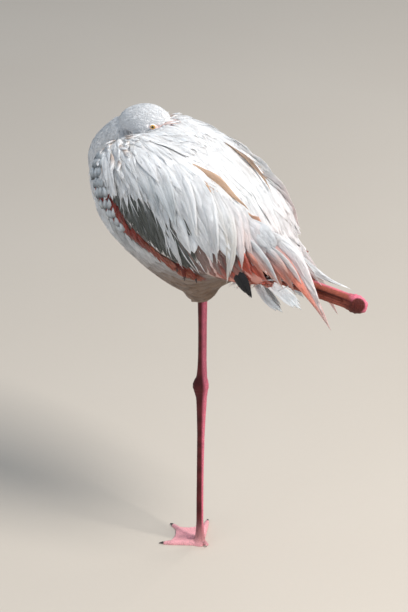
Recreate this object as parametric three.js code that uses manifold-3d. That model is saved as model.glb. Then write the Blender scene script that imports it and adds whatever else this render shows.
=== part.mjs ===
// A greater flamingo asleep on its right leg, life size, in millimetres.
// +X is the way the breast faces, +Y is the bird's left and +Z is up.
// The origin is on the sole of the standing foot, under the leg's axis.
// The neck curls up over the breast, the head lies on the back facing the tail, and the bill is
// pushed down between the wings. The left leg is folded beside the belly, with its ankle behind the tail.
import * as THREE from "three";
import { mergeVertices } from "three/addons/utils/BufferGeometryUtils.js";
import Module from "manifold-3d";

const wasm = await Module();
wasm.setup();
const { Manifold, Mesh } = wasm;

// ---- driving dimensions ----
const GAP = 0.35; // clearance between neighbouring pieces
const ANKLE_HEIGHT = 315; // of the standing leg's ankle above the sole
const BELLY_HEIGHT = 487; // lowest plumage
const BACK_HEIGHT = 787; // between the wings
const BREAST_X = 188;
const RUMP_X = -152;
const SHOULDER_X = 168;
const WING_HEIGHT = 789;
const WING_REAR_X = -182;
const WING_INNER_Y = 4; // half the groove between the two wings
const TRUNK_HALF_WIDTH = 98;
const WINGS_HALF_WIDTH = 124;
const NECK_RADIUS = 20;
const EYE_RADIUS = 5;
const TARSUS_RADIUS = 5;
const TIBIA_RADIUS = 6.3;
const ANKLE_RADIUS = 12.5;
const MIDDLE_TOE = 78;
const OUTER_TOE = 76;
const INNER_TOE = 64;
const CLAW_LENGTH = 8;
const LEAN = new THREE.Vector3(5, -10, -6); // of the body over the standing foot

// ---- colours ----
const finish = (color, roughness) => new THREE.MeshStandardMaterial({ color, roughness, metalness: 0 });
const plumage = finish("#f4f0ea", 0.9);
const rose = finish("#ef9d8a", 0.9);
const flight = finish("#0f0e10", 0.6);
const legSkin = finish("#c0505a", 0.5);
const webSkin = finish("#f0a8b4", 0.55);
const horn = finish("#1d1a1a", 0.35);
const billPink = finish("#eeb4b4", 0.4);
const iris = finish("#e8b23a", 0.1);

// ---- helpers ----
const vec = (x, y, z) => new THREE.Vector3(x, y, z);
const lerp = THREE.MathUtils.lerp;
const radians = THREE.MathUtils.degToRad;

// A closed mesh from rings of equally many points, capped at both ends.
function loft(rings) {
  const sides = rings[0].length;
  const points = rings.flat();
  const faces = [];
  for (let ring = 0; ring < rings.length - 1; ring++) {
    for (let side = 0; side < sides; side++) {
      const a = ring * sides + side;
      const b = ring * sides + ((side + 1) % sides);
      faces.push(a, b, a + sides, b, b + sides, a + sides);
    }
  }
  [rings[0], rings.at(-1)].forEach((ring, end) => {
    const centre = ring.reduce((sum, p) => sum.add(p), vec(0, 0, 0)).divideScalar(sides);
    const start = end ? (rings.length - 1) * sides : 0;
    points.push(centre);
    for (let side = 0; side < sides; side++) {
      const pair = [start + side, start + ((side + 1) % sides)];
      faces.push(points.length - 1, ...(end ? pair : pair.reverse()));
    }
  });
  return new THREE.BufferGeometry().setFromPoints(points).setIndex(faces);
}

// A geometry as a manifold-3d solid, turned the right way out.
function solid(geometry) {
  const bare = geometry.clone();
  bare.deleteAttribute("normal");
  bare.deleteAttribute("uv");
  const merged = mergeVertices(bare, 1e-4);
  const index = new Uint32Array(merged.index.array);
  const vertProperties = merged.attributes.position.array;
  const build = () => new Manifold(new Mesh({ numProp: 3, vertProperties, triVerts: index }));
  const made = build();
  if (made.volume() > 0) return made;
  for (let i = 0; i < index.length; i += 3) {
    [index[i + 1], index[i + 2]] = [index[i + 2], index[i + 1]];
  }
  return build();
}

const cut = (piece, ...others) => others.reduce((left, other) => left.subtract(other), piece);
const join = (first, ...others) => others.reduce((sum, other) => sum.add(other), first);

// The biggest part of a solid, so that a cut leaves no crumbs behind.
function largest(piece) {
  return piece.decompose().reduce((best, part) => (part.volume() > best.volume() ? part : best));
}

// A ring round a centre, reaching along two half-axes. Power 2 is an ellipse and more is squarer.
function ring(centre, across, up, sides, power = 2) {
  return Array.from({ length: sides }, (_, i) => {
    const angle = (2 * Math.PI * i) / sides;
    const bend = (v) => Math.sign(v) * Math.abs(v) ** (2 / power);
    return centre
      .clone()
      .addScaledVector(across, bend(Math.cos(angle)))
      .addScaledVector(up, bend(Math.sin(angle)));
  });
}

// A smooth function of t from a few values spread evenly over 0 to 1.
function profile(...values) {
  const curve = new THREE.CatmullRomCurve3(values.map((v, i) => vec(i, v, 0)), false, "centripetal");
  return (t) => curve.getPoint(t).y;
}

// A solid tube along a curve. Its half-widths are functions of t, across the sideways vector and up from it.
function tube(points, wide, tall, options = {}) {
  const { steps = 20, sides = 14, side = vec(0, 1, 0), from = 0, to = 1, grow = 0 } = options;
  const curve = new THREE.CatmullRomCurve3(points, false, "centripetal");
  const rings = [];
  for (let i = 0; i <= steps; i++) {
    const t = lerp(from, to, i / steps);
    const along = curve.getTangentAt(t);
    const up = side.clone().cross(along).normalize();
    const across = along.clone().cross(up).normalize();
    const centre = curve.getPointAt(t);
    if (i === 0) centre.addScaledVector(along, -grow);
    if (i === steps) centre.addScaledVector(along, grow);
    across.multiplyScalar(wide(t) + grow);
    up.multiplyScalar(tall(t) + grow);
    rings.push(ring(centre, across, up, sides));
  }
  return solid(loft(rings));
}

// ---- trunk and folded wings ----
// A rounded shape between a line along its top and one along its bottom, which meet at both ends.
// Full says how blunt its ends are, and taper how much longer its rear end is than its front.
function hull(top, bottom, middle, halfWidth, { grow = 0, power = 2.15, full = 0.6, taper = 0.92 } = {}) {
  const steps = 14;
  const sides = 16;
  const rings = [];
  for (let i = 0; i <= steps; i++) {
    const t = lerp(0.012, 0.988, (1 - Math.cos((Math.PI * i) / steps)) / 2);
    const above = top.getPointAt(t);
    const below = bottom.getPointAt(t);
    const up = above.clone().sub(below).divideScalar(2);
    up.setLength(up.length() + grow);
    const centre = above.add(below).divideScalar(2).setY(middle);
    const across = vec(0, halfWidth * Math.sin(Math.PI * t ** taper) ** full + grow, 0);
    rings.push(ring(centre, across, up, sides, power));
  }
  return solid(loft(rings));
}
const sideLine = (...points) => new THREE.CatmullRomCurve3(points.map(([x, z]) => vec(x, 0, z)));

const backLine = sideLine(
  [BREAST_X, 645], [180, 698], [152, 742], [105, 771], [52, 784], [18, BACK_HEIGHT], [-18, 770],
  [-58, 741], [-96, 702], [-124, 656], [-142, 610], [RUMP_X, 574]);
const bellyLine = sideLine(
  [BREAST_X, 645], [181, 608], [156, 576], [114, 541], [68, 512], [25, 494],
  [-8, BELLY_HEIGHT], [-36, 502], [-60, 524], [-95, 541], [-128, 553], [RUMP_X, 574]);
const trunkShape = (grow = 0) => hull(backLine, bellyLine, 0, TRUNK_HALF_WIDTH, { grow });

const wingTop = sideLine(
  [SHOULDER_X, 704], [158, 746], [130, 777], [92, WING_HEIGHT], [50, 786], [10, 775], [-30, 756],
  [-66, 733], [-97, 707], [-122, 676], [-138, 640], [-152, 606], [WING_REAR_X, 580]);
const wingBottom = sideLine(
  [SHOULDER_X, 704], [154, 662], [122, 628], [82, 602], [36, 582], [-24, 567], [-70, 561],
  [-112, 560], [-150, 564], [WING_REAR_X, 580]);
const WING_HALF_WIDTH = (WINGS_HALF_WIDTH - WING_INNER_Y) / 2;
// The right wing sits a little lower and closer to the body than the left one.
const RIGHT_WING_SHIFT = [0, 4, -6];
const wingShape = (side, grow = 0) => hull(
  wingTop, wingBottom, side * (WING_INNER_Y + WING_HALF_WIDTH), WING_HALF_WIDTH,
  { grow, full: 0.52, power: 2.5, taper: 0.8 }).translate(side > 0 ? [0, 0, 0] : RIGHT_WING_SHIFT);

// ---- neck: up the breast and over to the nape ----
const neckLine = [
  vec(100, 0, 582), vec(129, -2, 585), vec(155, -6, 604), vec(178, -9, 634), vec(194, -12, 666),
  vec(201, -12, 697), vec(191, -10, 724), vec(170, -7, 747), vec(144, -3, 769),
];
const neckWide = profile(36, 32, 28, 24, NECK_RADIUS + 2, NECK_RADIUS, NECK_RADIUS, 21, 23);
const neckTall = profile(34, 32, 28, 25, 23, 22, 22, 23, 25);
const JOINT_GAP = 0.002; // between two lengths, as a share of the whole neck
const neckPiece = (from, to, grow = 0) =>
  tube(neckLine, neckWide, neckTall, { from, to, steps: Math.round(20 * (to - from)) + 1, sides: 11, grow });

const NECK_JOINTS = [0, 0.36, 0.68, 1]; // where the neck's lengths meet
const neckLengths = (grow = 0) =>
  [0, 1, 2].map((i) => neckPiece(NECK_JOINTS[i] + (i ? JOINT_GAP : 0), NECK_JOINTS[i + 1], grow));

// ---- head, facing the tail ----
const headLine = [
  vec(148, 0, 776), vec(136, 0, 783), vec(118, 0, 787), vec(98, 0, 789), vec(78, 0, 788), vec(60, 0, 783)];
const headWide = profile(8, 20, 25.5, 26, 21, 14);
const headTall = profile(10, 22, 28, 31, 29, 21);
const headShape = (grow = 0) => tube(headLine, headWide, headTall, { steps: 10, sides: 14, grow });
const EYE_X = 78;
const EYE_Z = 788.5;
const EYE_Y = 18;
const eyeShape = (side, grow = 0) =>
  solid(new THREE.SphereGeometry(EYE_RADIUS + grow, 9, 6).translate(EYE_X, side * EYE_Y, EYE_Z));

// ---- bill: straight from the face, then bent down into the plumage ----
const upperBillLine = [
  vec(63, 0, 786), vec(44, 0, 785), vec(24, 0, 776), vec(6, 0, 755), vec(-2, 0, 729), vec(-1, 0, 714)];
const upperBillWide = profile(12.5, 11.5, 11, 10, 7, 2.5);
const upperBillTall = profile(9, 7.5, 6.5, 6, 4.5, 2);
const lowerBillLine = [
  vec(63, 0, 770), vec(48, 0, 767), vec(34, 0, 757), vec(21, 0, 740), vec(11, 0, 723), vec(5, 0, 712)];
const lowerBillWide = profile(9, 11, 13, 12.5, 8.5, 2.5);
const lowerBillTall = profile(7, 9, 12.5, 12, 7, 2);
const bill = (line, wide, tall, grow) => tube(line, wide, tall, { steps: 7, sides: 10, grow });
const upperBill = (grow = 0) => bill(upperBillLine, upperBillWide, upperBillTall, grow);
const lowerBill = (grow = 0) => bill(lowerBillLine, lowerBillWide, lowerBillTall, grow);

// ---- standing leg ----
const legProfile = (pairs, grow) => pairs.map(([radius, height]) => new THREE.Vector2(radius + grow, height));
function standingTube(pairs, grow = 0) {
  const bottom = pairs[0][1] - grow;
  const top = pairs.at(-1)[1] + grow;
  const outline = [new THREE.Vector2(0, bottom), ...legProfile(pairs, grow), new THREE.Vector2(0, top)];
  outline[1].y = bottom;
  outline.at(-2).y = top;
  return solid(new THREE.LatheGeometry(outline, 12).rotateX(Math.PI / 2).scale(1.12, 0.95, 1));
}
const TARSUS_TOP = ANKLE_HEIGHT - 22;
const SHANK_BOTTOM = ANKLE_HEIGHT + 16;
const SHANK_TOP = 500;
const tarsusRight = standingTube([
  [TARSUS_RADIUS + 3.2, 12], [TARSUS_RADIUS + 1.4, 24], [TARSUS_RADIUS + 0.2, 46], [TARSUS_RADIUS, 130],
  [TARSUS_RADIUS + 0.5, 220], [TARSUS_RADIUS + 1.8, 262], [TARSUS_RADIUS + 3.4, TARSUS_TOP],
]);
const ankleRight = standingTube([
  [TARSUS_RADIUS + 3.5, TARSUS_TOP + GAP],
  [ANKLE_RADIUS - 1.8, ANKLE_HEIGHT - 9], [ANKLE_RADIUS, ANKLE_HEIGHT - 1],
  [ANKLE_RADIUS - 1, ANKLE_HEIGHT + 7], [TIBIA_RADIUS + 2.2, SHANK_BOTTOM - GAP],
]);
const shankRight = (grow = 0) => standingTube([
  [TIBIA_RADIUS + 2.1, SHANK_BOTTOM], [TIBIA_RADIUS + 0.6, SHANK_BOTTOM + 18], [TIBIA_RADIUS, 372],
  [TIBIA_RADIUS, 430], [TIBIA_RADIUS + 1.2, SHANK_TOP],
], grow);
// The plumage of the thigh, gathered round the top of the shank.
const thighOutline = [[12, 482], [18, 486], [27, 497], [36, 514], [40, 536]];
const thighRight = (grow = 0) => standingTube(thighOutline, grow).translate([-LEAN.x, -LEAN.y, 0]);

// ---- standing foot: three webbed toes and a small hind toe ----
const MIDDLE_ANGLE = -24;
const OUTER_ANGLE = -72;
const INNER_ANGLE = 28;
const heading = (degrees) => vec(Math.cos(radians(degrees)), Math.sin(radians(degrees)), 0);

const TOE_ROOT_HALF_WIDTH = 6.8;
const TOE_TIP_HALF_WIDTH = 3;
const TOE_ROOT_HEIGHT = 8.8;
const TOE_TIP_HEIGHT = 4.2;
const KNUCKLE = 0.7; // swelling at each joint of a toe
const WEB_THICKNESS = 2.2;

// A toe lying on the floor, with knuckles, its sole flat.
function toe(degrees, length, grow = 0) {
  const way = heading(degrees);
  const side = vec(-way.y, way.x, 0);
  const steps = 5;
  const rings = [];
  for (let i = 0; i <= steps; i++) {
    const t = i / steps;
    const knuckle = KNUCKLE * Math.abs(Math.sin(3 * Math.PI * t));
    const half = lerp(TOE_ROOT_HALF_WIDTH, TOE_TIP_HALF_WIDTH, t) + knuckle + grow;
    const height = lerp(TOE_ROOT_HEIGHT, TOE_TIP_HEIGHT, t) + knuckle + grow;
    const centre = way.clone().multiplyScalar(lerp(-2, length, t)).setZ(0);
    rings.push([
      centre.clone().addScaledVector(side, half),
      centre.clone().addScaledVector(side, half * 0.85).setZ(height * 0.6),
      centre.clone().addScaledVector(side, half * 0.35).setZ(height),
      centre.clone().addScaledVector(side, -half * 0.35).setZ(height),
      centre.clone().addScaledVector(side, -half * 0.85).setZ(height * 0.6),
      centre.clone().addScaledVector(side, -half),
    ]);
  }
  return solid(loft(rings));
}

// The web between two toes, its free edge bowed in.
function web(angleA, lengthA, angleB, lengthB) {
  const a = heading(angleA).multiplyScalar(lengthA * 0.93);
  const b = heading(angleB).multiplyScalar(lengthB * 0.93);
  const inner = a.clone().add(b).multiplyScalar(0.34);
  const shape = new THREE.Shape().moveTo(0, 0).lineTo(a.x, a.y);
  shape.quadraticCurveTo(inner.x, inner.y, b.x, b.y).lineTo(0, 0);
  const options = { depth: WEB_THICKNESS, bevelEnabled: false, curveSegments: 5 };
  return solid(new THREE.ExtrudeGeometry(shape, options));
}

// A claw past the toe's end, bent down to the floor.
function claw(origin, way, length, grow = 0) {
  const steps = 3;
  const rings = [];
  const side = vec(0, 0, 1).cross(way).normalize();
  const up = way.clone().cross(side);
  for (let i = 0; i <= steps; i++) {
    const t = i / steps;
    const centre = origin.clone().addScaledVector(way, length * t).addScaledVector(up, -1.2 * t * t);
    const size = lerp(2.3, 0.5, t) + grow;
    rings.push(ring(centre, side.clone().multiplyScalar(size), up.clone().multiplyScalar(size), 6));
  }
  return solid(loft(rings));
}

const toes = [
  ["middle", MIDDLE_ANGLE, MIDDLE_TOE],
  ["outer", OUTER_ANGLE, OUTER_TOE],
  ["inner", INNER_ANGLE, INNER_TOE],
];
const PAD_HEIGHT = 11.6;
const footPad = solid(
  new THREE.CylinderGeometry(9.5, 11, PAD_HEIGHT, 16).rotateX(Math.PI / 2).translate(1, 0, PAD_HEIGHT / 2));
const hindToe = tube(
  [vec(-6, 1, 9), vec(-12, 3, 8), vec(-18, 5, 4.5)], () => 2.6, () => 2.6, { steps: 3, sides: 7 });
const footRight = join(
  footPad, hindToe,
  ...toes.map(([, angle, length]) => toe(angle, length)),
  web(MIDDLE_ANGLE, MIDDLE_TOE, OUTER_ANGLE, OUTER_TOE),
  web(MIDDLE_ANGLE, MIDDLE_TOE, INNER_ANGLE, INNER_TOE),
);

// ---- folded leg: shank back to the ankle, tarsus forward under it, toes hanging by the belly ----
const ankleLeft = vec(-311, 33, 556);
const foldedWay = vec(-10, 82, 626).sub(ankleLeft).normalize(); // from the ankle to the toes' root
const foldedDown = vec(0, 1, 0).cross(foldedWay).normalize().negate();
const BONE_DROP = 7; // of each bone's axis from the line between them
const tibiaSide = foldedDown.z > 0 ? 1 : -1; // the shank lies above the tarsus

// A point on the folded leg, at a distance from the ankle and raised towards the shank.
const along = (distance, raised = 0) =>
  ankleLeft.clone().addScaledVector(foldedWay, distance).addScaledVector(foldedDown, tibiaSide * raised);
const shankLeft = (grow = 0) => tube(
  [along(4, BONE_DROP), along(150, BONE_DROP + 0.4), along(210, BONE_DROP + 1)],
  profile(6.9, 6.4, 6.8), profile(6.6, 6.1, 6.8), { steps: 6, sides: 10, grow });
const toesRoot = along(306, 1 - BONE_DROP);
const tarsusLeft = (grow = 0) => tube(
  [along(6, -BONE_DROP), along(160, -BONE_DROP), toesRoot],
  profile(6.7, 5.4, 6.8), profile(6.5, 5.6, 6.8), { steps: 7, sides: 10, grow });
const ankleLeftShape = (grow = 0) => tube(
  [along(-13), along(-8), along(2), along(16), along(26)],
  profile(5, 10, 11.5, 9, 7), profile(8, 14.5, 16.5, 14.5, 13), { steps: 7, sides: 12, grow });

// The hanging toes, nearly closed, with the web folded between them.
const hanging = [
  ["middle", vec(-24, 8, -52), 1],
  ["outer", vec(-6, 13, -50), 0.95],
  ["inner", vec(12, 4, -44), 0.9],
];
const hangingToe = (reach, grow = 0) => tube(
  [toesRoot, toesRoot.clone().addScaledVector(reach, 0.5).add(vec(4, 3, 0)), toesRoot.clone().add(reach)],
  profile(5.4, 4.2, 2.8), profile(5.4, 4, 2.8), { steps: 3, sides: 6, side: vec(1, 0, 0), grow });
const foldedWeb = (grow = 0) => tube(
  [toesRoot, toesRoot.clone().add(vec(-4, 6, -25)), toesRoot.clone().add(vec(-6, 8, -42))],
  profile(3, 10 + grow, 13 + grow), profile(3, 2.2, 1.6), { steps: 3, sides: 8, side: vec(1, 0, 0), grow });
const footLeftShape = (grow = 0) => join(
  solid(new THREE.SphereGeometry(8 + grow, 10, 6).translate(toesRoot.x, toesRoot.y, toesRoot.z)),
  foldedWeb(grow), ...hanging.map(([, reach]) => hangingToe(reach, grow)));
const hangingClaws = (grow = 0) => hanging.map(([name, reach, size]) => {
  const way = reach.clone().normalize();
  const root = toesRoot.clone().add(reach).addScaledVector(way, GAP - grow);
  return [name, claw(root, way, CLAW_LENGTH * size + 2 * grow, grow)];
});

// The room that the folded leg takes in the plumage.
const legRoom = join(
  tube([along(20), along(170), along(314)], () => 9, () => BONE_DROP + 9.6, { steps: 3, sides: 10 }),
  footLeftShape(GAP),
  ...hangingClaws(GAP).map(([, piece]) => piece),
);

// ---- long feathers behind the wings ----
// A bundle of overlapping vanes: a flat blade that tapers to the longest feather's tip.
const blade = (points, wide, thick, grow, side) =>
  tube(points, wide, thick, { steps: 7, sides: 8, side, grow });
const LEFT = 1;
const tertials = (side, grow = 0) => blade(
  side === LEFT
    ? [vec(-146, 60, 660), vec(-196, 62, 629), vec(-236, 70, 584), vec(-275, 62, 514)]
    : [vec(-126, -62, 600), vec(-162, -54, 566), vec(-203, -42, 540), vec(-242, -32, 494)],
  profile(24, 25, 19, 3), profile(9, 8, 6, 1.5), grow, vec(-0.72, 0, 0.69));
const innerTertials = (side, grow = 0) => blade(
  side === LEFT
    ? [vec(-136, 36, 652), vec(-180, 40, 630), vec(-220, 44, 605), vec(-250, 50, 584)]
    : [vec(-126, -48, 604), vec(-172, -40, 576), vec(-226, -20, 562), vec(-284, 6, 565)],
  profile(24, 24, 16, 4), profile(9, 8, 5, 1.5), grow,
  side === LEFT ? vec(-0.42, 0.3, 0.86) : vec(0, 1, 0.25));
const primaries = (side, grow = 0) => blade(
  [vec(-104, side * 90, 612), vec(-127, side * 94, 584), vec(-144, side * 90, 555)],
  profile(13, 12, 8.5), profile(7, 5, 2), grow, vec(-0.8, 0, 0.6));
const tailShape = (grow = 0) => blade(
  [vec(-100, 4, 588), vec(-140, 6, 558), vec(-198, 8, 512)],
  profile(30, 36, 42), profile(12, 7, 2), grow, vec(0, 1, 0));

// ---- cut each piece to its neighbours ----
const group = new THREE.Group();
const body = new THREE.Group(); // all but the standing leg
body.position.copy(LEAN);
group.add(body);

function place(name, piece, material, parent = body) {
  const { vertProperties, triVerts } = largest(piece).getMesh();
  const geometry = new THREE.BufferGeometry()
    .setAttribute("position", new THREE.BufferAttribute(vertProperties, 3))
    .setIndex(new THREE.BufferAttribute(triVerts, 1));
  geometry.computeVertexNormals();
  const mesh = new THREE.Mesh(geometry, material);
  mesh.name = name;
  parent.add(mesh);
}

const eyes = { left: eyeShape(-1, GAP), right: eyeShape(1, GAP) };
const wholeNeck = join(...neckLengths(GAP));
const wholeHead = join(headShape(GAP), upperBill(GAP), lowerBill(GAP));
const standingShank = shankRight(GAP).translate([-LEAN.x, -LEAN.y, -LEAN.z]);
const softCutters = [wholeNeck, wholeHead, legRoom, standingShank];

place("head", cut(headShape(), eyes.left, eyes.right, upperBill(GAP), lowerBill(GAP)), plumage);
place("eye_left", eyeShape(-1), iris);
place("eye_right", eyeShape(1), iris);
place("bill_upper", upperBill(), billPink);
place("bill_lower", cut(lowerBill(), upperBill(GAP)), billPink);
const [neckLower, neckMiddle, neckUpper] = neckLengths();
place("neck_lower", neckLower, plumage);
place("neck_middle", neckMiddle, plumage);
place("neck_upper", cut(neckUpper, headShape(GAP)), plumage);
place("trunk", cut(trunkShape(), thighRight(GAP), ...softCutters), plumage);

for (const [name, side] of [["left", 1], ["right", -1]]) {
  const hidden = [trunkShape(GAP), thighRight(GAP), ...softCutters];
  place(`wing_${name}`, cut(wingShape(side), ...hidden), plumage);
  const wing = wingShape(side, GAP);
  place(`primaries_${name}`, cut(primaries(side), wing, ...hidden), flight);
  place(`tertials_${name}`, cut(tertials(side), wing, primaries(side, GAP), ...hidden), rose);
  place(`inner_tertials_${name}`, cut(innerTertials(side), wing, tertials(side, GAP), ...hidden), rose);
}
const overTail = [1, -1].flatMap((side) => [
  innerTertials(side, GAP), tertials(side, GAP), primaries(side, GAP), wingShape(side, GAP)]);
place("tail", cut(tailShape(), trunkShape(GAP), ...softCutters, ...overTail), plumage);

place("thigh_right", cut(thighRight(), standingShank), plumage);
place("shank_right", shankRight(), legSkin, group);
place("ankle_right", ankleRight, legSkin, group);
place("tarsus_right", tarsusRight, legSkin, group);
place("foot_right", footRight, webSkin, group);
for (const [name, angle, length] of toes) {
  const way = heading(angle);
  const root = way.clone().multiplyScalar(length + GAP).setZ(2.6);
  place(`claw_${name}_right`, claw(root, way, CLAW_LENGTH), horn, group);
}

place("shank_left", cut(shankLeft(), ankleLeftShape(GAP)), legSkin);
place("tarsus_left", cut(tarsusLeft(), ankleLeftShape(GAP), shankLeft(GAP), footLeftShape(GAP)), legSkin);
place("ankle_left", ankleLeftShape(), legSkin);
place("foot_left", cut(footLeftShape(), shankLeft(GAP)), webSkin);
for (const [name, piece] of hangingClaws()) place(`claw_${name}_left`, cut(piece, footLeftShape(0.1)), horn);

export default group;
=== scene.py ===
# A greater flamingo asleep on its right leg: skin, plumage, eyes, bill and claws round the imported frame.
# +X is the way the breast faces, +Y is the bird's left and +Z is up. Lengths are in millimetres.
import math
import bpy
import bmesh
import numpy as np
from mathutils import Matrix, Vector
from mathutils.bvhtree import BVHTree
from mathutils.geometry import barycentric_transform


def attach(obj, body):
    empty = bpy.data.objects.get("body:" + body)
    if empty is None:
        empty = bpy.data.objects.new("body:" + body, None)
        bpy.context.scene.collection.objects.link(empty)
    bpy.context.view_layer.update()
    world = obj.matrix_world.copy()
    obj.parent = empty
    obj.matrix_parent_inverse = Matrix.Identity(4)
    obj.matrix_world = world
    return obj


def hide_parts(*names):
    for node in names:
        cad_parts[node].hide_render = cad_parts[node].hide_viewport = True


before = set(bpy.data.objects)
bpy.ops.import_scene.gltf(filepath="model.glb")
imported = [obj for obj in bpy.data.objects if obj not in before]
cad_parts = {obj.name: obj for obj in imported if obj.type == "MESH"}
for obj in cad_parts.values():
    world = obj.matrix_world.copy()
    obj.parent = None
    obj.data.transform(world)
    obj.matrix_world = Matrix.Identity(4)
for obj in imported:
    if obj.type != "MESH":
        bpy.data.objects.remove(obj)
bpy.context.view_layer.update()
MILLIMETRE = 0.001  # in metres, which meshes are made in
LEAN = np.array([5.0, -10.0, -6.0])  # of the body over the standing foot
draw = np.random.default_rng(20)

# ---- camera, floor and light ----
PICTURE_HEIGHT = 612  # in pixels
FOCAL_LENGTH = 2900  # in pixels
SENSOR_WIDTH = 36
LOOK_DOWN = math.radians(26.3)
LOOK_WAY = (0.469, -0.883)
CAMERA_PLACE = (-2.069, 3.880, 2.641)
LIGHT_AIM = Vector((0, 0, 0.55))


def make_camera():
    data = bpy.data.cameras.new("camera")
    data.sensor_width = SENSOR_WIDTH
    data.lens = FOCAL_LENGTH * SENSOR_WIDTH / PICTURE_HEIGHT
    camera = bpy.data.objects.new("camera", data)
    camera.location = CAMERA_PLACE
    level = math.cos(LOOK_DOWN)
    look = Vector((LOOK_WAY[0] * level, LOOK_WAY[1] * level, -math.sin(LOOK_DOWN)))
    camera.rotation_euler = look.to_track_quat("-Z", "Y").to_euler()
    bpy.context.scene.collection.objects.link(camera)
    bpy.context.scene.camera = camera


def make_light(name, place, size, power, colour):
    data = bpy.data.lights.new(name, "AREA")
    data.size = size
    data.energy = power
    data.color = colour
    light = bpy.data.objects.new(name, data)
    light.location = place
    aim = LIGHT_AIM - Vector(place)
    light.rotation_euler = aim.to_track_quat("-Z", "Y").to_euler()
    bpy.context.scene.collection.objects.link(light)


def make_studio():
    make_light("key light", (-2.5, 0.3, 3.5), 1.2, 176, (1.0, 0.97, 0.93))
    make_light("rim light", (-1.2, -3.2, 2.6), 2.0, 45, (1.0, 0.98, 0.95))
    make_light("fill light", (0.9, 3.4, 1.9), 3.0, 40, (0.86, 0.93, 1.0))
    world = bpy.data.worlds.new("room")
    world.use_nodes = True
    sky = world.node_tree.nodes["Background"]
    sky.inputs["Color"].default_value = (0.72, 0.84, 1.0, 1)
    sky.inputs["Strength"].default_value = 0.40
    bpy.context.scene.world = world
    bpy.context.scene.view_settings.view_transform = "Standard"


# ---- materials ----
def linear(red, green, blue):
    """A colour given as 0 to 255 screen values, as linear light."""
    share = np.array([red, green, blue]) / 255
    return np.where(share <= 0.04045, share / 12.92, ((share + 0.055) / 1.055) ** 2.4)


class Value:
    """A socket, or a sum, difference or product of sockets worked out by Math nodes."""

    def __init__(self, finish, socket):
        self.finish = finish
        self.socket = socket

    def maths(self, operation, *values):
        settings = {"operation": operation}
        return self.finish.node("ShaderNodeMath", settings, dict(enumerate(values)))

    def __add__(self, other):
        return self.maths("ADD", self, other)

    def __sub__(self, other):
        return self.maths("SUBTRACT", self, other)

    def __rsub__(self, other):
        return self.maths("SUBTRACT", other, self)

    def __mul__(self, other):
        return self.maths("MULTIPLY", self, other)

    def __abs__(self):
        return self.maths("ABSOLUTE", self)

    def sine(self):
        return self.maths("SINE", self)

    __radd__ = __add__
    __rmul__ = __mul__


class Finish:
    """A material with a Principled shader, its nodes made by one method."""

    def __init__(self, name, **constants):
        self.material = bpy.data.materials.new(name)
        self.material.use_nodes = True
        self.tree = self.material.node_tree
        self.shader = self.tree.nodes["Principled BSDF"]
        for socket, value in constants.items():
            self.shader.inputs[socket.replace("_", " ")].default_value = value

    def node(self, kind, settings=None, inputs=None, output=0):
        made = self.tree.nodes.new(kind)
        for name, value in (settings or {}).items():
            if name == "stops":
                self.set_stops(made.color_ramp, value)
            else:
                setattr(made, name, value)
        for name, value in (inputs or {}).items():
            self.feed(self.socket(made.inputs, name), value)
        return Value(self, self.socket(made.outputs, output))

    @staticmethod
    def socket(sockets, name):
        if isinstance(name, int):
            return sockets[name]
        return next(s for s in sockets if s.identifier == name or s.name == name)

    @staticmethod
    def set_stops(ramp, stops):
        while len(ramp.elements) < len(stops):
            ramp.elements.new(0.5)
        for element, (place, colour) in zip(ramp.elements, stops):
            element.position = place
            element.color = (*colour, 1)

    def feed(self, socket, value):
        if isinstance(value, Value):
            self.tree.links.new(value.socket, socket)
        elif socket.type == "RGBA":
            socket.default_value = (*value, 1)
        else:
            socket.default_value = value

    def to_shader(self, **values):
        for name, value in values.items():
            self.feed(self.shader.inputs[name.replace("_", " ")], value)

    def object_place(self):
        return self.node("ShaderNodeTexCoord", output="Object")

    def noise(self, scale, detail=3.0, vector=None, roughness=0.5):
        inputs = {"Scale": scale, "Detail": detail, "Roughness": roughness}
        inputs["Vector"] = vector or self.object_place()
        return self.node("ShaderNodeTexNoise", inputs=inputs)

    def attribute(self, name, output="Color"):
        return self.node("ShaderNodeAttribute", {"attribute_name": name}, output=output)

    def blend(self, factor, first, second, blend_type="MIX"):
        settings = {"data_type": "RGBA", "blend_type": blend_type, "clamp_factor": True}
        inputs = {"Factor_Float": factor, "A_Color": first, "B_Color": second}
        return self.node("ShaderNodeMix", settings, inputs, output="Result_Color")

    def component(self, vector, index):
        return self.node("ShaderNodeSeparateXYZ", inputs={0: vector}, output=index)

    def span(self, value, low, high, first=0.0, last=1.0):
        """Value, taken from low..high to first..last and held there."""
        inputs = {0: value, 1: low, 2: high, 3: first, 4: last}
        return self.node("ShaderNodeMapRange", {"clamp": True}, inputs)

    def bump(self, height, distance, strength):
        inputs = {"Height": height, "Distance": distance, "Strength": strength}
        return self.node("ShaderNodeBump", inputs=inputs, output="Normal")


BARB_COUNT = 60  # along a vane
BARB_SLANT = 26


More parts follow.
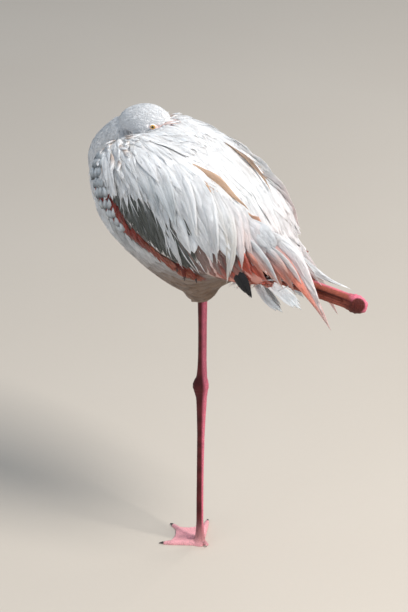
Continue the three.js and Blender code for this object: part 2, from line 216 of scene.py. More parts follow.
def feather_finish(name, roughness=0.72, sheen=0.25, barb_depth=0.00018, glow=0.35):
    """Vanes take their colour from the Tint attribute. Barbs slant from the shaft to the edges."""
    finish = Finish(name, Sheen_Weight=sheen, Sheen_Roughness=0.5, Specular_IOR_Level=0.3)
    finish.shader.inputs["Subsurface Weight"].default_value = glow
    finish.shader.inputs["Subsurface Radius"].default_value = (1.0, 0.82, 0.72)
    finish.shader.inputs["Subsurface Scale"].default_value = 0.006
    place = finish.node("ShaderNodeUVMap", {"uv_map": "Vane"})
    across, along = finish.component(place, 0), finish.component(place, 1)
    off_shaft = abs(across - 0.5)
    barbs = ((along * BARB_COUNT - off_shaft * BARB_SLANT) * math.tau).sine()
    clumps = finish.noise(55, 4, roughness=0.6)
    shaft = finish.span(off_shaft, 0.015, 0.05, 1.0, 0.0)
    mottle = finish.span(clumps, 0.3, 0.75, 0.90, 1.04)
    # Each vane darkens towards its root. This is partly its greyer downy base and partly painted shade where
    # the vanes above overlap it.
    root = finish.span(along, 0.0, 0.45, 0.84, 1.0)
    shade = mottle * root * (1 - shaft * 0.06) * (0.985 + barbs * 0.015)
    grey = finish.node("ShaderNodeCombineColor", inputs={0: shade, 1: shade, 2: shade})
    colour = finish.blend(1.0, finish.attribute("Tint"), grey, "MULTIPLY")
    height = barbs * 0.35 + shaft * 1.2 + clumps * 0.8
    finish.to_shader(
        Base_Color=colour,
        Roughness=finish.span(clumps, 0.3, 0.7, roughness - 0.08, roughness + 0.12),
        Normal=finish.bump(height, barb_depth, 0.6))
    return finish.material


def leg_finish(name):
    """Scaly skin: its colour comes from the Tint attribute, with fine plates and dark seams."""
    finish = Finish(name, Specular_IOR_Level=0.22)
    place = finish.object_place()
    stretched = finish.node("ShaderNodeMapping", inputs={"Vector": place, "Scale": (1, 1, 0.62)})
    cells = finish.node(
        "ShaderNodeTexVoronoi", {"feature": "DISTANCE_TO_EDGE"},
        {"Vector": stretched, "Scale": 330, "Randomness": 0.8}, output="Distance")
    pores = finish.noise(900, 3)
    blotches = finish.noise(60, 4)
    seam = finish.span(cells, 0.0, 0.13, 0.0, 1.0)
    shade = finish.span(seam, 0, 1, 0.72, 1.0) * finish.span(blotches, 0.3, 0.7, 0.86, 1.12)
    grey = finish.node("ShaderNodeCombineColor", inputs={0: shade, 1: shade, 2: shade})
    colour = finish.blend(1.0, finish.attribute("Tint"), grey, "MULTIPLY")
    scaly = finish.attribute("Scaly", "Fac")
    finish.to_shader(
        Base_Color=finish.blend(scaly, finish.attribute("Tint"), colour),
        Roughness=finish.span(pores, 0.3, 0.7, 0.42, 0.6),
        Normal=finish.bump(seam * scaly + pores * 0.25, 0.0005, 0.7))
    return finish.material


# ---- skin ----
PLUMED = [
    "head", "neck_lower", "neck_middle", "neck_upper", "trunk", "wing_left", "wing_right", "thigh_right"]
BARE = [
    "shank_right", "ankle_right", "tarsus_right", "foot_right",
    "shank_left", "tarsus_left", "ankle_left", "foot_left"]
COAT_DEPTH = {"head": 1.2, "neck": 4.0, "trunk": 9.0, "wing": 9.0, "thigh": 5.0}
BODY_VOXEL = 3.4
LEG_VOXEL = 1.25
CURVE_STEPS = 12  # between two points of a smooth curve


def read(items, name, width, kind=np.float64):
    values = np.zeros(len(items) * width, np.int32 if kind is int else np.float32)
    items.foreach_get(name, values)
    return values.reshape(-1, width).astype(kind) if width > 1 else values


def welded(name, swell=0.0):
    """A copy of a frame node with its loose triangles welded, swollen by some millimetres."""
    piece = bmesh.new()
    piece.from_mesh(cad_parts[name].data)
    bmesh.ops.remove_doubles(piece, verts=piece.verts, dist=0.02 * MILLIMETRE)
    piece.normal_update()
    for vert in piece.verts:
        vert.co += vert.normal * swell * MILLIMETRE
    return piece


def scaled(piece):
    """A welded copy turned from metres to millimetres."""
    bmesh.ops.scale(piece, verts=piece.verts, vec=(1 / MILLIMETRE,) * 3)
    return piece


def merged(names, swell):
    whole = bmesh.new()
    for name in names:
        part = bpy.data.meshes.new("part")
        piece = welded(name, swell)
        piece.to_mesh(part)
        piece.free()
        whole.from_mesh(part)
        bpy.data.meshes.remove(part)
    mesh = bpy.data.meshes.new("merged")
    whole.to_mesh(mesh)
    whole.free()
    return mesh


def with_modifiers(mesh, *modifiers):
    """The mesh after some modifiers, each given as its kind and settings."""
    worker = bpy.data.objects.new("worker", mesh)
    bpy.context.scene.collection.objects.link(worker)
    for kind, settings in modifiers:
        modifier = worker.modifiers.new(kind, kind)
        for name, value in settings.items():
            setattr(modifier, name, value)
    graph = bpy.context.evaluated_depsgraph_get()
    made = bpy.data.meshes.new_from_object(worker.evaluated_get(graph))
    bpy.data.objects.remove(worker)
    return made


def remeshed(mesh, voxel):
    settings = {"mode": "VOXEL", "voxel_size": voxel * MILLIMETRE, "adaptivity": 0}
    return with_modifiers(mesh, ("REMESH", settings))


def averaged(values, edges, rounds, share=0.5):
    """Values at the vertices, eased towards their neighbours' mean."""
    size = len(values)
    values = values.astype(float).reshape(size, -1)
    first, second = edges.T
    count = np.bincount(edges.ravel(), minlength=size)[:, None]
    for _ in range(rounds):
        total = np.stack([
            np.bincount(first, column[second], size) + np.bincount(second, column[first], size)
            for column in values.T], 1)
        values += share * (total / count - values)
    return values.squeeze()


def vertex_normals(places, quads):
    across = np.cross(places[quads[:, 2]] - places[quads[:, 0]], places[quads[:, 3]] - places[quads[:, 1]])
    normals = np.zeros_like(places)
    for corner in quads.T:
        for axis in range(3):
            normals[:, axis] += np.bincount(corner, across[:, axis], len(places))
    return normals / np.linalg.norm(normals, axis=1, keepdims=True)


def biggest_island(mesh):
    """Only the largest connected shell of a mesh, so that no crumb stays inside it."""
    worker = bmesh.new()
    worker.from_mesh(mesh)
    seen = set()
    islands = []
    for start in worker.verts:
        if start in seen:
            continue
        island, front = {start}, [start]
        while front:
            for edge in front.pop().link_edges:
                for vert in edge.verts:
                    if vert not in island:
                        island.add(vert)
                        front.append(vert)
        seen |= island
        islands.append(island)
    keep = max(islands, key=len)
    bmesh.ops.delete(worker, geom=[v for v in worker.verts if v not in keep], context="VERTS")
    worker.to_mesh(mesh)
    worker.free()
    return mesh


def nearest(tree, places):
    found = [tree.find_nearest(place) for place in places.tolist()]
    return np.array([f[0] for f in found]), np.array([f[1] for f in found])


def node_distances(places):
    """How far each place is from each plumed node's surface."""
    distances = []
    for name in PLUMED:
        piece = scaled(welded(name))
        tree = BVHTree.FromBMesh(piece)
        distances.append([tree.find_nearest(place)[3] for place in places.tolist()])
        piece.free()
    return np.array(distances).T


def set_arrays(mesh, places, quads, tris=None):
    """Fills a new mesh from arrays of places in millimetres, four-sided faces and triangles."""
    tris = np.zeros((0, 3), int) if tris is None else tris
    sizes = np.concatenate([np.full(len(quads), 4), np.full(len(tris), 3)])
    corners = np.concatenate([quads.ravel(), tris.ravel()])
    mesh.vertices.add(len(places))
    mesh.vertices.foreach_set("co", (places * MILLIMETRE).astype(np.float32).ravel())
    mesh.loops.add(len(corners))
    mesh.loops.foreach_set("vertex_index", corners.astype(np.int32))
    mesh.polygons.add(len(sizes))
    mesh.polygons.foreach_set("loop_start", (np.cumsum(sizes) - sizes).astype(np.int32))
    mesh.polygons.foreach_set("use_smooth", np.ones(len(sizes), bool))
    mesh.update(calc_edges=True)


def make_body_surface():
    """The plumed body as one smooth shell out to the coat's surface, with each vertex's node."""
    mesh = biggest_island(remeshed(merged(PLUMED, 0.6), BODY_VOXEL))
    places = read(mesh.vertices, "co", 3) / MILLIMETRE
    quads = read(mesh.loops, "vertex_index", 1, int).reshape(-1, 4)
    edges = read(mesh.edges, "vertices", 2, int)
    bpy.data.meshes.remove(mesh)
    distances = node_distances(places)
    places = averaged(places, edges, 8)
    return places, quads, edges, distances


def line_at(at, run, line):
    """Places on a line, given as the places that it passes at some distances of its run."""
    return np.stack([np.interp(at, run, column) for column in line.T], -1)


def curve_through(points, count, until=1.0):
    """Places evenly along a smooth curve through points."""
    points = np.array(points, float)
    padded = np.concatenate([[2 * points[0] - points[1]], points, [2 * points[-1] - points[-2]]])
    fine = []
    for i in range(len(points) - 1):
        p0, p1, p2, p3 = padded[i:i + 4]
        for t in np.linspace(0, 1, CURVE_STEPS, endpoint=False):
            fine.append(0.5 * (
                2 * p1 + (p2 - p0) * t + (2 * p0 - 5 * p1 + 4 * p2 - p3) * t ** 2
                + (3 * p1 - p0 - 3 * p2 + p3) * t ** 3))
    fine = np.array(fine + [points[-1]])
    run = np.concatenate([[0], np.cumsum(np.linalg.norm(np.diff(fine, axis=0), axis=1))])
    at = np.linspace(0, until, count) * run[-1]
    return line_at(at, run, fine)


# The ridge of feathers that rises beside the lower face and closes over the bill, on the left side.
RIDGE = [
    [108, 38, 763], [92, 36, 769], [78, 32, 772], [62, 25, 779], [44, 17, 783], [24, 10, 777], [4, 8, 766]]
RIDGE_RADIUS = 11


def make_sleeve():
    """A shell over the back that swells over the buried bill, for the feathers that close round it."""
    whole = bmesh.new()
    for names, swell in ((["trunk", "wing_left", "wing_right"], -3.5), (["bill_upper", "bill_lower"], 3.0)):
        part = merged(names, swell)
        whole.from_mesh(part)
        bpy.data.meshes.remove(part)
    for side in (1, -1):
        for x, y, z in curve_through(RIDGE, 30):
            place = (LEAN + [x, side * y, z]) * MILLIMETRE
            ball = bmesh.ops.create_icosphere(whole, subdivisions=2, radius=RIDGE_RADIUS * MILLIMETRE)
            bmesh.ops.translate(whole, verts=ball["verts"], vec=place)
    mesh = bpy.data.meshes.new("sleeve")
    whole.to_mesh(mesh)
    whole.free()
    mesh = biggest_island(remeshed(mesh, BODY_VOXEL))
    places = read(mesh.vertices, "co", 3) / MILLIMETRE
    quads = read(mesh.loops, "vertex_index", 1, int).reshape(-1, 4)
    places = averaged(places, read(mesh.edges, "vertices", 2, int), 7)
    bpy.data.meshes.remove(mesh)
    return places, quads, np.full(len(places), "trunk")


def inset_body(places, quads, edges, distances):
    """The skin under the coat: the shell moved in by the coat's depth, which eases from part to part."""
    kinds = [name.split("_")[0] for name in PLUMED]
    depth = np.array([COAT_DEPTH[kind] for kind in kinds])[distances.argmin(1)]
    depth = averaged(depth, edges, 12)
    inner = places.copy()
    for _ in range(3):
        inner -= vertex_normals(inner, quads) * depth[:, None] / 3
        inner = averaged(inner, edges, 2)
    return inner


# ---- tints ----
WHITE = linear(246, 245, 245)
CREAM = linear(240, 233, 224)
SHADOW_GREY = linear(208, 213, 216)
ROSE = linear(238, 178, 160)
# Painted shade: the under layer's grey and rosy brown stand for the shadow beneath the wing's plumes.
UNDER_SHADE_GREY = linear(90, 86, 74)
UNDER_SHADE_ROSE = linear(134, 96, 84)
UNDER_RED = linear(206, 84, 62)
# Painted shade: the dark grey of the strands on the wing's lower front.
PANEL_SHADE_GREY = linear(80, 82, 74)
FRONT_SHADE = linear(74, 72, 64)
# Painted shade: the tan in the crease between mantle and wing, and between the shoulder tufts.
SHADE_TAN = linear(216, 178, 148)
SALMON = linear(232, 140, 118)
CRIMSON = linear(138, 32, 20)
RUST = linear(172, 84, 48)
BLACK = linear(22, 21, 24)
# The belly's beige, darkened further with painted shade.
BELLY_BEIGE_AND_SHADE = linear(126, 92, 62)
LEG_PINK = linear(204, 88, 94)
# Painted shade: the dark crimson of the legs' shaded sides.
LEG_SHADE = linear(70, 14, 16)
LEG_BROWN = linear(172, 92, 72)
# Painted highlight: the bright pink of the legs' lit sides and rims.
LEG_HIGHLIGHT = linear(244, 128, 150)
FOOT_PINK = linear(242, 172, 178)
LID = linear(216, 156, 104)
LORE = linear(243, 218, 212)
GAPE = linear(240, 204, 194)
CURL_SHADE = linear(60, 70, 78)
BILL_PINK = linear(238, 176, 172)
CLAW_GREY = linear(44, 34, 34)
MIDLINE = LEAN[1]
EYES = {"eye_right": LEAN + [78, 18.0, 788.5], "eye_left": LEAN + [78, -18.0, 788.5]}
EYE_RADIUS = 5.0
# Heights of the rows of curled feathers down the front of each wing, and how far forward that edge is.
CURL_ROWS = [744, 729, 714, 698, 682, 665, 648, 631, 615]
CURL_Z = [600, 655, 700, 740]
CURL_X = [97, 116, 134, 146]
# The line of crimson coverts below the wing's long plumes, as it runs along the left side.
CRIMSON_LINE = np.array([
    [146, 100, 716], [121, 107, 690], [99, 106, 649], [79, 104, 628], [43, 92, 594], [10, 82, 570],
    [-14, 76, 556]])


def rise(values, low, high):
    """0 at low, 1 at high and smooth between."""
    share = np.clip((np.asarray(values, float) - low) / (high - low), 0, 1)
    return share * share * (3 - 2 * share)


def mix(first, second, share):
    return first + (second - first) * np.asarray(share)[..., None]


def mirrored(places):
    """Places on the right side turned to the left one, across the body's middle."""
    folded = places.copy()
    folded[..., 1] = MIDLINE + np.abs(places[..., 1] - MIDLINE)
    return folded


def stretches(places, line):
    """Each stretch's way along a line, and how far the places are from it."""
    for start, end in zip(line[:-1], line[1:]):
        way = end - start
        share = np.clip(((places - start) @ way) / (way @ way), 0, 1)
        yield way, np.linalg.norm(places - start - share[..., None] * way, axis=-1)


def line_distance(places, line):
    return np.min([gap for _, gap in stretches(places, line)], axis=0)


def crimson_share(places):
    return 1 - rise(line_distance(mirrored(places), CRIMSON_LINE), 9, 16)


def rosy_share(places):
    """Pink low down at the back of the wings and round the tail."""
    x, _, z = np.moveaxis(places, -1, 0)
    return rise(-x, 40, 110) * rise(-z, -650, -600) * rise(z, 480, 540)


def front_share(places):
    """The shaded strip in front of each wing, where the curled feathers stand."""
    x, y, z = in_body(places)
    ahead = x - np.interp(z, CURL_Z, CURL_X)
    strip = rise(ahead, -4, 4) * (1 - rise(ahead, 20, 32)) * rise(y, 56, 72)
    return strip * rise(z, 598, 616) * (1 - rise(z, 742, 756))


def plumage_tint(places):
    # Towards the belly the plumage turns beige with painted shade.
    tint = mix(WHITE, BELLY_BEIGE_AND_SHADE, rise(-places[..., 2], -630, -530))
    tint = mix(tint, SALMON, rosy_share(places) * 0.7)
    tint = mix(tint, FRONT_SHADE, front_share(places) * 0.5)
    return mix(tint, CRIMSON, crimson_share(places) * 0.9)


def panel_share(places):
    """The wing's lower front, where soft strands hang, greyed with painted shade."""
    x, y, z = np.moveaxis(mirrored(places) - LEAN, -1, 0)
    return rise(x, -30, 10) * rise(-z, -735, -700) * (y > 60)


def under_tint(places):
    """The down between the wing's plumes, in painted shade that deepens lower down: grey in front, rosy brown
    behind, and its own red low at the back.
    """
    x, _, z = np.moveaxis(places, -1, 0)
    low = rise(-z, -740, -660)
    tint = mix(mix(WHITE, UNDER_SHADE_GREY, 0.2 + 0.8 * low), UNDER_SHADE_ROSE, rise(-x, -30, 40) * low)
    return mix(tint, UNDER_RED, rise(-x, 40, 100) * rise(-z, -640, -596))


def face_tint(places, tint):
    """Warm lids round the eyes, and the bare pale pink skin from the eyes to the bill."""
    for centre in EYES.values():
        away = np.linalg.norm((places - centre) * [0.85, 1, 1.25], axis=-1)
        tint = mix(tint, LID, 1 - rise(away, 5.2, 6.8))
    x, _, z = np.moveaxis(places, -1, 0)
    lore = rise(-x, -84, -72) * (1 - rise(np.abs(z - 779), 6, 13)) * rise(z, 700, 760)
    return mix(tint, LORE, lore)


def leg_tint(places):
    x, y, z = np.moveaxis(places, -1, 0)
    ripple = 0.5 + 0.5 * np.sin(z * 0.21 + 2.2 * np.sin(z * 0.031) + x * 0.05)
    # Painted light: the standing leg is tinted lit on its side towards SUNNY_X, SUNNY_Y and shaded elsewhere.
    sunny = rise((SUNNY_X * x + SUNNY_Y * y) / np.maximum(np.hypot(x, y), 1), 0.3, 0.8)
    knob = np.exp(-((z - ANKLE_HEIGHT) / 22) ** 2)
    shaft = mix(mix(LEG_SHADE, LEG_PINK, 0.05 + 0.08 * ripple - 0.05 * knob), LEG_HIGHLIGHT, sunny * 0.95)
    soiled = 0.5 * (1 - rise(np.hypot(x, y), 10, 34)) * rise(z, 4, 14)
    tint = mix(mix(FOOT_PINK, LEG_BROWN * 0.5, soiled), shaft, rise(z, 10, 60))
    # Painted light on the folded leg: shade on its inner side and in the grooves between its bones, and a
    # highlight along its top edge and round the joint.
    height = (places - FOLDED_ANKLE) @ FOLD_SKY
    down_leg = (places - FOLDED_ANKLE) @ FOLD_WAY
    joint = 1 - rise(down_leg, 4, 30)
    top_edge = rise(height, 9.5, 12.5) * 0.7 * (1 - joint)
    joint_edge = joint * rise(np.hypot(down_leg, height), 10, 13) * rise(height - 0.6 * down_leg, -8, 2)
    rim = np.maximum(top_edge, joint_edge)
    seam = np.exp(-((height - 1) / 1.8) ** 2) + 0.6 * np.exp(-((height + 7) / 1.6) ** 2)
    dark = mix(LEG_SHADE, LEG_BROWN, (1 - joint) * np.clip(0.75 - 0.7 * seam, 0, 1) + 0.12 * joint)
    folded = (rise(-x, -20, 60) * rise(z, 480, 520))[..., None]
    return tint * (1 - folded) + mix(dark, LEG_HIGHLIGHT, rim) * folded


# ---- legs ----
# Painted light: the standing leg's side that faces this way is tinted as lit.
SUNNY_X, SUNNY_Y = -0.883, -0.469  # the way the standing leg's lighter side looks
CAMERA_UP = np.array([0.208, -0.391, 0.896])
FOLDED_ANKLE = LEAN + [-311, 33, 556]
FOLDED_TOES = LEAN + [-10, 82, 626]
FOLD_WAY = (FOLDED_TOES - FOLDED_ANKLE) / np.linalg.norm(FOLDED_TOES - FOLDED_ANKLE)
FOLD_UP = np.cross(FOLD_WAY, np.cross([0, 0, 1], FOLD_WAY))
FOLD_UP = FOLD_UP / np.linalg.norm(FOLD_UP)
# Up on screen across the folded leg, where its painted highlight lies along the top edge.
FOLD_SKY = CAMERA_UP - FOLD_WAY * (FOLD_WAY @ CAMERA_UP)
FOLD_SKY = FOLD_SKY / np.linalg.norm(FOLD_SKY)
ANKLE_HEIGHT = 315
STANDING_REACH = 26  # the standing leg is nearer than this to the Z axis
STANDING_TOP = 560
SOLE_HEIGHT = 0.02
ANKLE_BULGE = np.array([1.7, 0.9])  # the standing ankle swells forward
LEG_LEAN = np.array([-4.2, -2.2])  # of the standing leg, from the foot to the belly


def fold_height(places):
    """Height above the groove between the folded leg's two bones."""
    return (places - FOLDED_ANKLE) @ FOLD_UP


def make_legs():
    """Both bare legs, rounded from the frame's pieces, with plates, wrinkled joints and lined webs."""
    mesh = remeshed(merged(BARE, 0.7), LEG_VOXEL)
    places = read(mesh.vertices, "co", 3) / MILLIMETRE
    quads = read(mesh.loops, "vertex_index", 1, int).reshape(-1, 4)
    edges = read(mesh.edges, "vertices", 2, int)
    bpy.data.meshes.remove(mesh)
    places = averaged(places, edges, 5)
    normals = vertex_normals(places, quads)
    x, y, z = places.T
    standing = (np.hypot(x, y) < STANDING_REACH) & (z < STANDING_TOP)
    swell = np.exp(-((z - ANKLE_HEIGHT + 2) / 17) ** 2) * standing
    places[:, :2] += ANKLE_BULGE * swell[:, None]
    leaning = rise(z, 60, 440) * (1 - rise(z, 520, STANDING_TOP - 4)) * standing
    places[:, :2] += LEG_LEAN * leaning[:, None]
    angle = np.arctan2(y, x)
    plates = 0.16 * np.abs(np.sin(z * 0.45 + 0.8 * np.sin(angle * 3))) * rise(z, 14, 40) * standing
    at_ankle = np.exp(-((z - ANKLE_HEIGHT) / 11) ** 2)
    wrinkles = 0.4 * np.sin(z * 0.95 + np.sin(angle * 2)) * at_ankle * standing
    web_lines = 0.22 * np.sin(angle * 46 + np.hypot(x, y) * 0.12) * (1 - rise(z, 5, 10)) * rise(z, 1.0, 2.0)
    down_leg = (places - FOLDED_ANKLE) @ FOLD_WAY
    folded = (x < 60) & (z > 400) & ~standing
    joint_folds = 0.45 * np.sin(down_leg * 0.8) * np.exp(-((down_leg - 4) / 14) ** 2)
    ridges = (0.18 * np.abs(np.sin(down_leg * 0.42)) + joint_folds) * folded
    groove = -1.3 * np.exp(-(fold_height(places) / 2.2) ** 2) * folded * rise(down_leg, -6, 20)
    places += normals * (plates + wrinkles + web_lines + ridges + groove)[:, None]
    places[:, 2] = np.maximum(places[:, 2], SOLE_HEIGHT)
    return places, quads


# ---- head ----
LID_OPENING = 3.75
LID_LENGTH = 1.12
LID_HEIGHT = 0.86
LID_ARCH = 0.05  # the upper lid opens more than the lower one
SOCKET_DEPTH = 1.6
FACE_REACH = 13


def eye_axis(name):
    """The way an eye looks: out to its side, a little towards the bill and a little up."""
    side = np.sign(EYES[name][1] - MIDLINE)
    axis = np.array([-0.38, side, 0.22])
    return axis / np.linalg.norm(axis)


def shape_face(places):
    """Sockets, lids and the ring of fine folds round each eye."""
    for name, centre in EYES.items():
        axis = eye_axis(name)
        forward = np.cross(axis, [0, 0, 1.0])
        forward /= np.linalg.norm(forward)
        upward = np.cross(forward, axis)
        upward *= np.sign(upward[2])
        offset = places - centre
        out = offset @ axis
        across, height = offset @ forward, offset @ upward
        radius = np.hypot(across / LID_LENGTH, height / (LID_HEIGHT + LID_ARCH * np.sign(height)))
        near = (radius < FACE_REACH) & (out > -9)
        ball = np.sqrt(np.maximum(EYE_RADIUS ** 2 - radius ** 2, 0))
        socket = ball - SOCKET_DEPTH
        lid = np.sqrt(np.maximum((EYE_RADIUS + 0.75) ** 2 - (radius * 0.93) ** 2, 0)) - 0.15
        folds = 0.35 * np.sin(radius * 2.1) * np.exp(-((radius - 7.5) / 2.2) ** 2)
        goal = np.where(radius < LID_OPENING, socket, lid)
        hold = 1 - rise(radius, 4.9, 10.5)
        shift = np.where(near, hold * (goal - out) + folds, 0)
        places = places + shift[:, None] * axis
    return places


def refine_faces(places, quads):
    """The faces round the eyes cut finer, to hold lids and folds."""
    mesh = bpy.data.meshes.new("fine")
    set_arrays(mesh, places, quads)
    fine = bmesh.new()
    fine.from_mesh(mesh)

    def eye_gap(face):
        middle = np.array(face.calc_center_median()) / MILLIMETRE
        return min(np.linalg.norm(middle - centre) for centre in EYES.values())

    for reach, cuts in ((15.0, 1), (10.5, 2)):
        near = [face for face in fine.faces if eye_gap(face) < reach]
        edges = list({e for f in near for e in f.edges})
        bmesh.ops.subdivide_edges(fine, edges=edges, cuts=cuts, use_grid_fill=True)
    bmesh.ops.triangulate(fine, faces=[f for f in fine.faces if len(f.verts) > 4])
    fine.to_mesh(mesh)
    fine.free()
    return mesh


def make_skin(inner, quads):
    """One skin over head, neck, body, wings, thigh and both legs."""
    mesh = refine_faces(inner, quads)
    places = read(mesh.vertices, "co", 3) / MILLIMETRE
    places = shape_face(places)
    mesh.vertices.foreach_set("co", (places * MILLIMETRE).astype(np.float32).ravel())
    leg_places, leg_quads = make_legs()
    legs = bpy.data.meshes.new("legs")
    set_arrays(legs, leg_places, leg_quads)
    whole = bmesh.new()
    whole.from_mesh(mesh)
    split = len(whole.verts)
    whole.from_mesh(legs)
    skin = bpy.data.meshes.new("skin")
    whole.to_mesh(skin)
    whole.free()
    places = read(skin.vertices, "co", 3) / MILLIMETRE
    tint = np.concatenate([
        face_tint(places[:split], plumage_tint(places[:split])), leg_tint(places[split:])])
    store_tint(skin, tint)
    scaly = skin.attributes.new("Scaly", "FLOAT", "POINT")
    scaly.data.foreach_set("value", (np.arange(len(places)) >= split).astype(np.float32))
    skin.polygons.foreach_set("use_smooth", np.ones(len(skin.polygons), bool))
    return add_piece("skin", skin, leg_finish("skin"), "leg_skin", PLUMED + BARE)


def store_tint(mesh, tint):
    layer = mesh.attributes.new("Tint", "FLOAT_COLOR", "POINT")
    with_alpha = np.concatenate([tint, np.ones((len(tint), 1))], 1)
    layer.data.foreach_set("color", with_alpha.astype(np.float32).ravel())


def add_piece(name, mesh, material, slot, replaced=()):
    piece = bpy.data.objects.new(name, mesh)
    mesh.materials.clear()
    mesh.materials.append(material)
    bpy.context.scene.collection.objects.link(piece)
    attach(piece, "root")
    if replaced:
        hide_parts(*replaced)
    return piece


# ---- eyes, bill and claws ----
def eye_finish():
    finish = Finish("eye", Coat_Roughness=0.02, Specular_IOR_Level=0.6, Coat_IOR=1.38)
    ring = finish.attribute("Ring", "Fac")
    spokes = finish.noise(1400, 4)
    iris = finish.node("ShaderNodeValToRGB", {"stops": [
        (0.0, linear(196, 150, 50)), (0.45, linear(230, 198, 96)), (0.8, linear(204, 156, 78)),
        (1.0, linear(112, 66, 36))]}, {"Fac": finish.span(ring, 0.42, 0.76)}, output="Color")
    shaded = finish.blend(finish.span(spokes, 0.35, 0.7, 0.0, 0.45), iris, linear(176, 110, 30))
    pupil = finish.span(ring, 0.40, 0.43, 1.0, 0.0)
    white = finish.span(ring, 0.78, 0.84)
    colour = finish.blend(pupil, shaded, linear(8, 7, 6))
    finish.to_shader(
        Base_Color=finish.blend(white, colour, linear(120, 66, 44)),
        Roughness=finish.span(spokes, 0.2, 0.8, 0.08, 0.16),
        Coat_Weight=finish.span(ring, 0, 1, 1.0, 0.8))
    return finish.material


def make_eye(name, material):
    """A ball whose dark pupil and pale iris are rings round the way it looks."""
    ball = bmesh.new()
    bmesh.ops.create_uvsphere(ball, u_segments=40, v_segments=28, radius=EYE_RADIUS * MILLIMETRE)
    turn = Vector(eye_axis(name)).to_track_quat("Z", "Y").to_matrix().to_4x4()
    bmesh.ops.transform(ball, matrix=turn, verts=ball.verts)
    axis = Vector(eye_axis(name))
    for vert in ball.verts:
        bulge = rise(vert.co.normalized().dot(axis), 0.72, 1.0)
        vert.co += axis * float(bulge) * 0.35 * MILLIMETRE
    bmesh.ops.translate(ball, verts=ball.verts, vec=Vector(EYES[name]) * MILLIMETRE)
    mesh = bpy.data.meshes.new(name)
    ball.to_mesh(mesh)
    ball.free()
    offset = read(mesh.vertices, "co", 3) / MILLIMETRE - EYES[name]
    out = offset @ eye_axis(name)
    aside = np.linalg.norm(offset - out[:, None] * eye_axis(name), axis=1) / EYE_RADIUS
    ring = mesh.attributes.new("Ring", "FLOAT", "POINT")
    ring.data.foreach_set("value", np.where(out > 0, aside, 1).astype(np.float32))
    mesh.polygons.foreach_set("use_smooth", np.ones(len(mesh.polygons), bool))
    add_piece(f"{name}_ball", mesh, material, "eye", [name])


def horn_finish(name, roughness):
    """Horn that takes its colour from the Tint attribute, with faint growth lines."""
    finish = Finish(name, Specular_IOR_Level=0.5)
    place = finish.object_place()
    grain = finish.noise(500, 5, place)
    bands = finish.noise(140, 3, place)
    colour = finish.blend(
        finish.span(grain, 0.35, 0.7, 0.0, 0.18), finish.attribute("Tint"), linear(120, 70, 66))
    finish.to_shader(
        Base_Color=colour,
        Roughness=finish.span(bands, 0.3, 0.7, roughness, roughness + 0.14),
        Coat_Weight=finish.span(bands, 0.3, 0.7, 0.25, 0.1),
        Normal=finish.bump(grain + bands, 0.00025, 0.5))
    return finish.material


def horn_tint(places):
    """Pale pink, with the bill's black tip."""
    tip = 1 - rise(places[:, 2], 722, 736)
    return mix(BILL_PINK, BLACK, tip)


def claw_tint(places):
    return np.tile(CLAW_GREY, (len(places), 1))


def make_horn(node, material, slot, voxel, rounds, tint):
    mesh = remeshed(merged([node], 0.15), voxel)
    mesh = biggest_island(mesh)
    places = read(mesh.vertices, "co", 3) / MILLIMETRE
    edges = read(mesh.edges, "vertices", 2, int)
    places = averaged(places, edges, rounds)
    mesh.vertices.foreach_set("co", (places * MILLIMETRE).astype(np.float32).ravel())
    mesh.polygons.foreach_set("use_smooth", np.ones(len(mesh.polygons), bool))
    store_tint(mesh, tint(places))
    add_piece(f"{node}_horn", mesh, material, slot, [node])


# ---- how the feathers lie ----
# Places on the body's left side, before it leans over the foot, with the way the feathers point there.
LIE = np.array([
    [150, 60, 745, -0.45, 0.35, -0.80], [168, 62, 704, -0.10, 0.20, -1.00],
    [114, 117, 700, -0.15, 0.00, -1.00], [94, 115, 655, -0.25, 0.00, -0.97],
    [80, 100, 772, -0.55, 0.45, -0.70], [38, 110, 755, -0.62, 0.25, -0.73],
    [22, 120, 720, -0.36, 0.00, -0.93], [10, 115, 614, -0.26, 0.00, -0.96],
    [-25, 115, 716, -0.55, 0.00, -0.83], [-57, 117, 652, -0.38, 0.00, -0.92],
    [-96, 110, 618, -0.36, -0.06, -0.93], [-48, 61, 744, -0.76, -0.16, -0.63],
    [-88, 50, 710, -0.58, -0.36, -0.73], [-116, 25, 665, -0.42, -0.36, -0.83],
    [-90, 90, 690, -0.52, -0.12, -0.84], [90, 40, 785, -0.90, 0.28, -0.10],
    [40, 30, 786, -1.00, 0.10, 0.00], [0, 10, 775, -1.00, 0.00, -0.20],
    [-80, 0, 725, -0.78, 0.00, -0.62], [-140, 0, 605, -0.60, 0.00, -0.80],
    [-132, 60, 612, -0.48, -0.10, -0.87], [188, 0, 650, -0.05, 0.00, -1.00],
    [160, 50, 600, -0.30, 0.00, -0.95], [130, 60, 560, -0.70, 0.00, -0.70],
    [100, 0, 535, -0.85, 0.00, -0.50], [25, 0, 494, -1.00, 0.00, 0.00],
    [20, 70, 540, -0.95, 0.00, -0.30], [-60, 50, 510, -1.00, 0.00, 0.10],
    [-120, 30, 540, -0.95, 0.00, 0.30]])
LIE_REACH = 34.0  # how far each of those ways is blended
# From the bill's root over the head and down the neck.
NECK_LINE = LEAN + np.array([
    [60, 0, 780], [98, 0, 788], [144, -3, 769], [170, -7, 747], [191, -10, 724], [201, -12, 697],
    [194, -12, 666], [178, -9, 634], [155, -6, 604], [129, -2, 585], [100, 0, 582]])


def unit(vectors):
    return vectors / np.maximum(np.linalg.norm(vectors, axis=-1, keepdims=True), 1e-9)


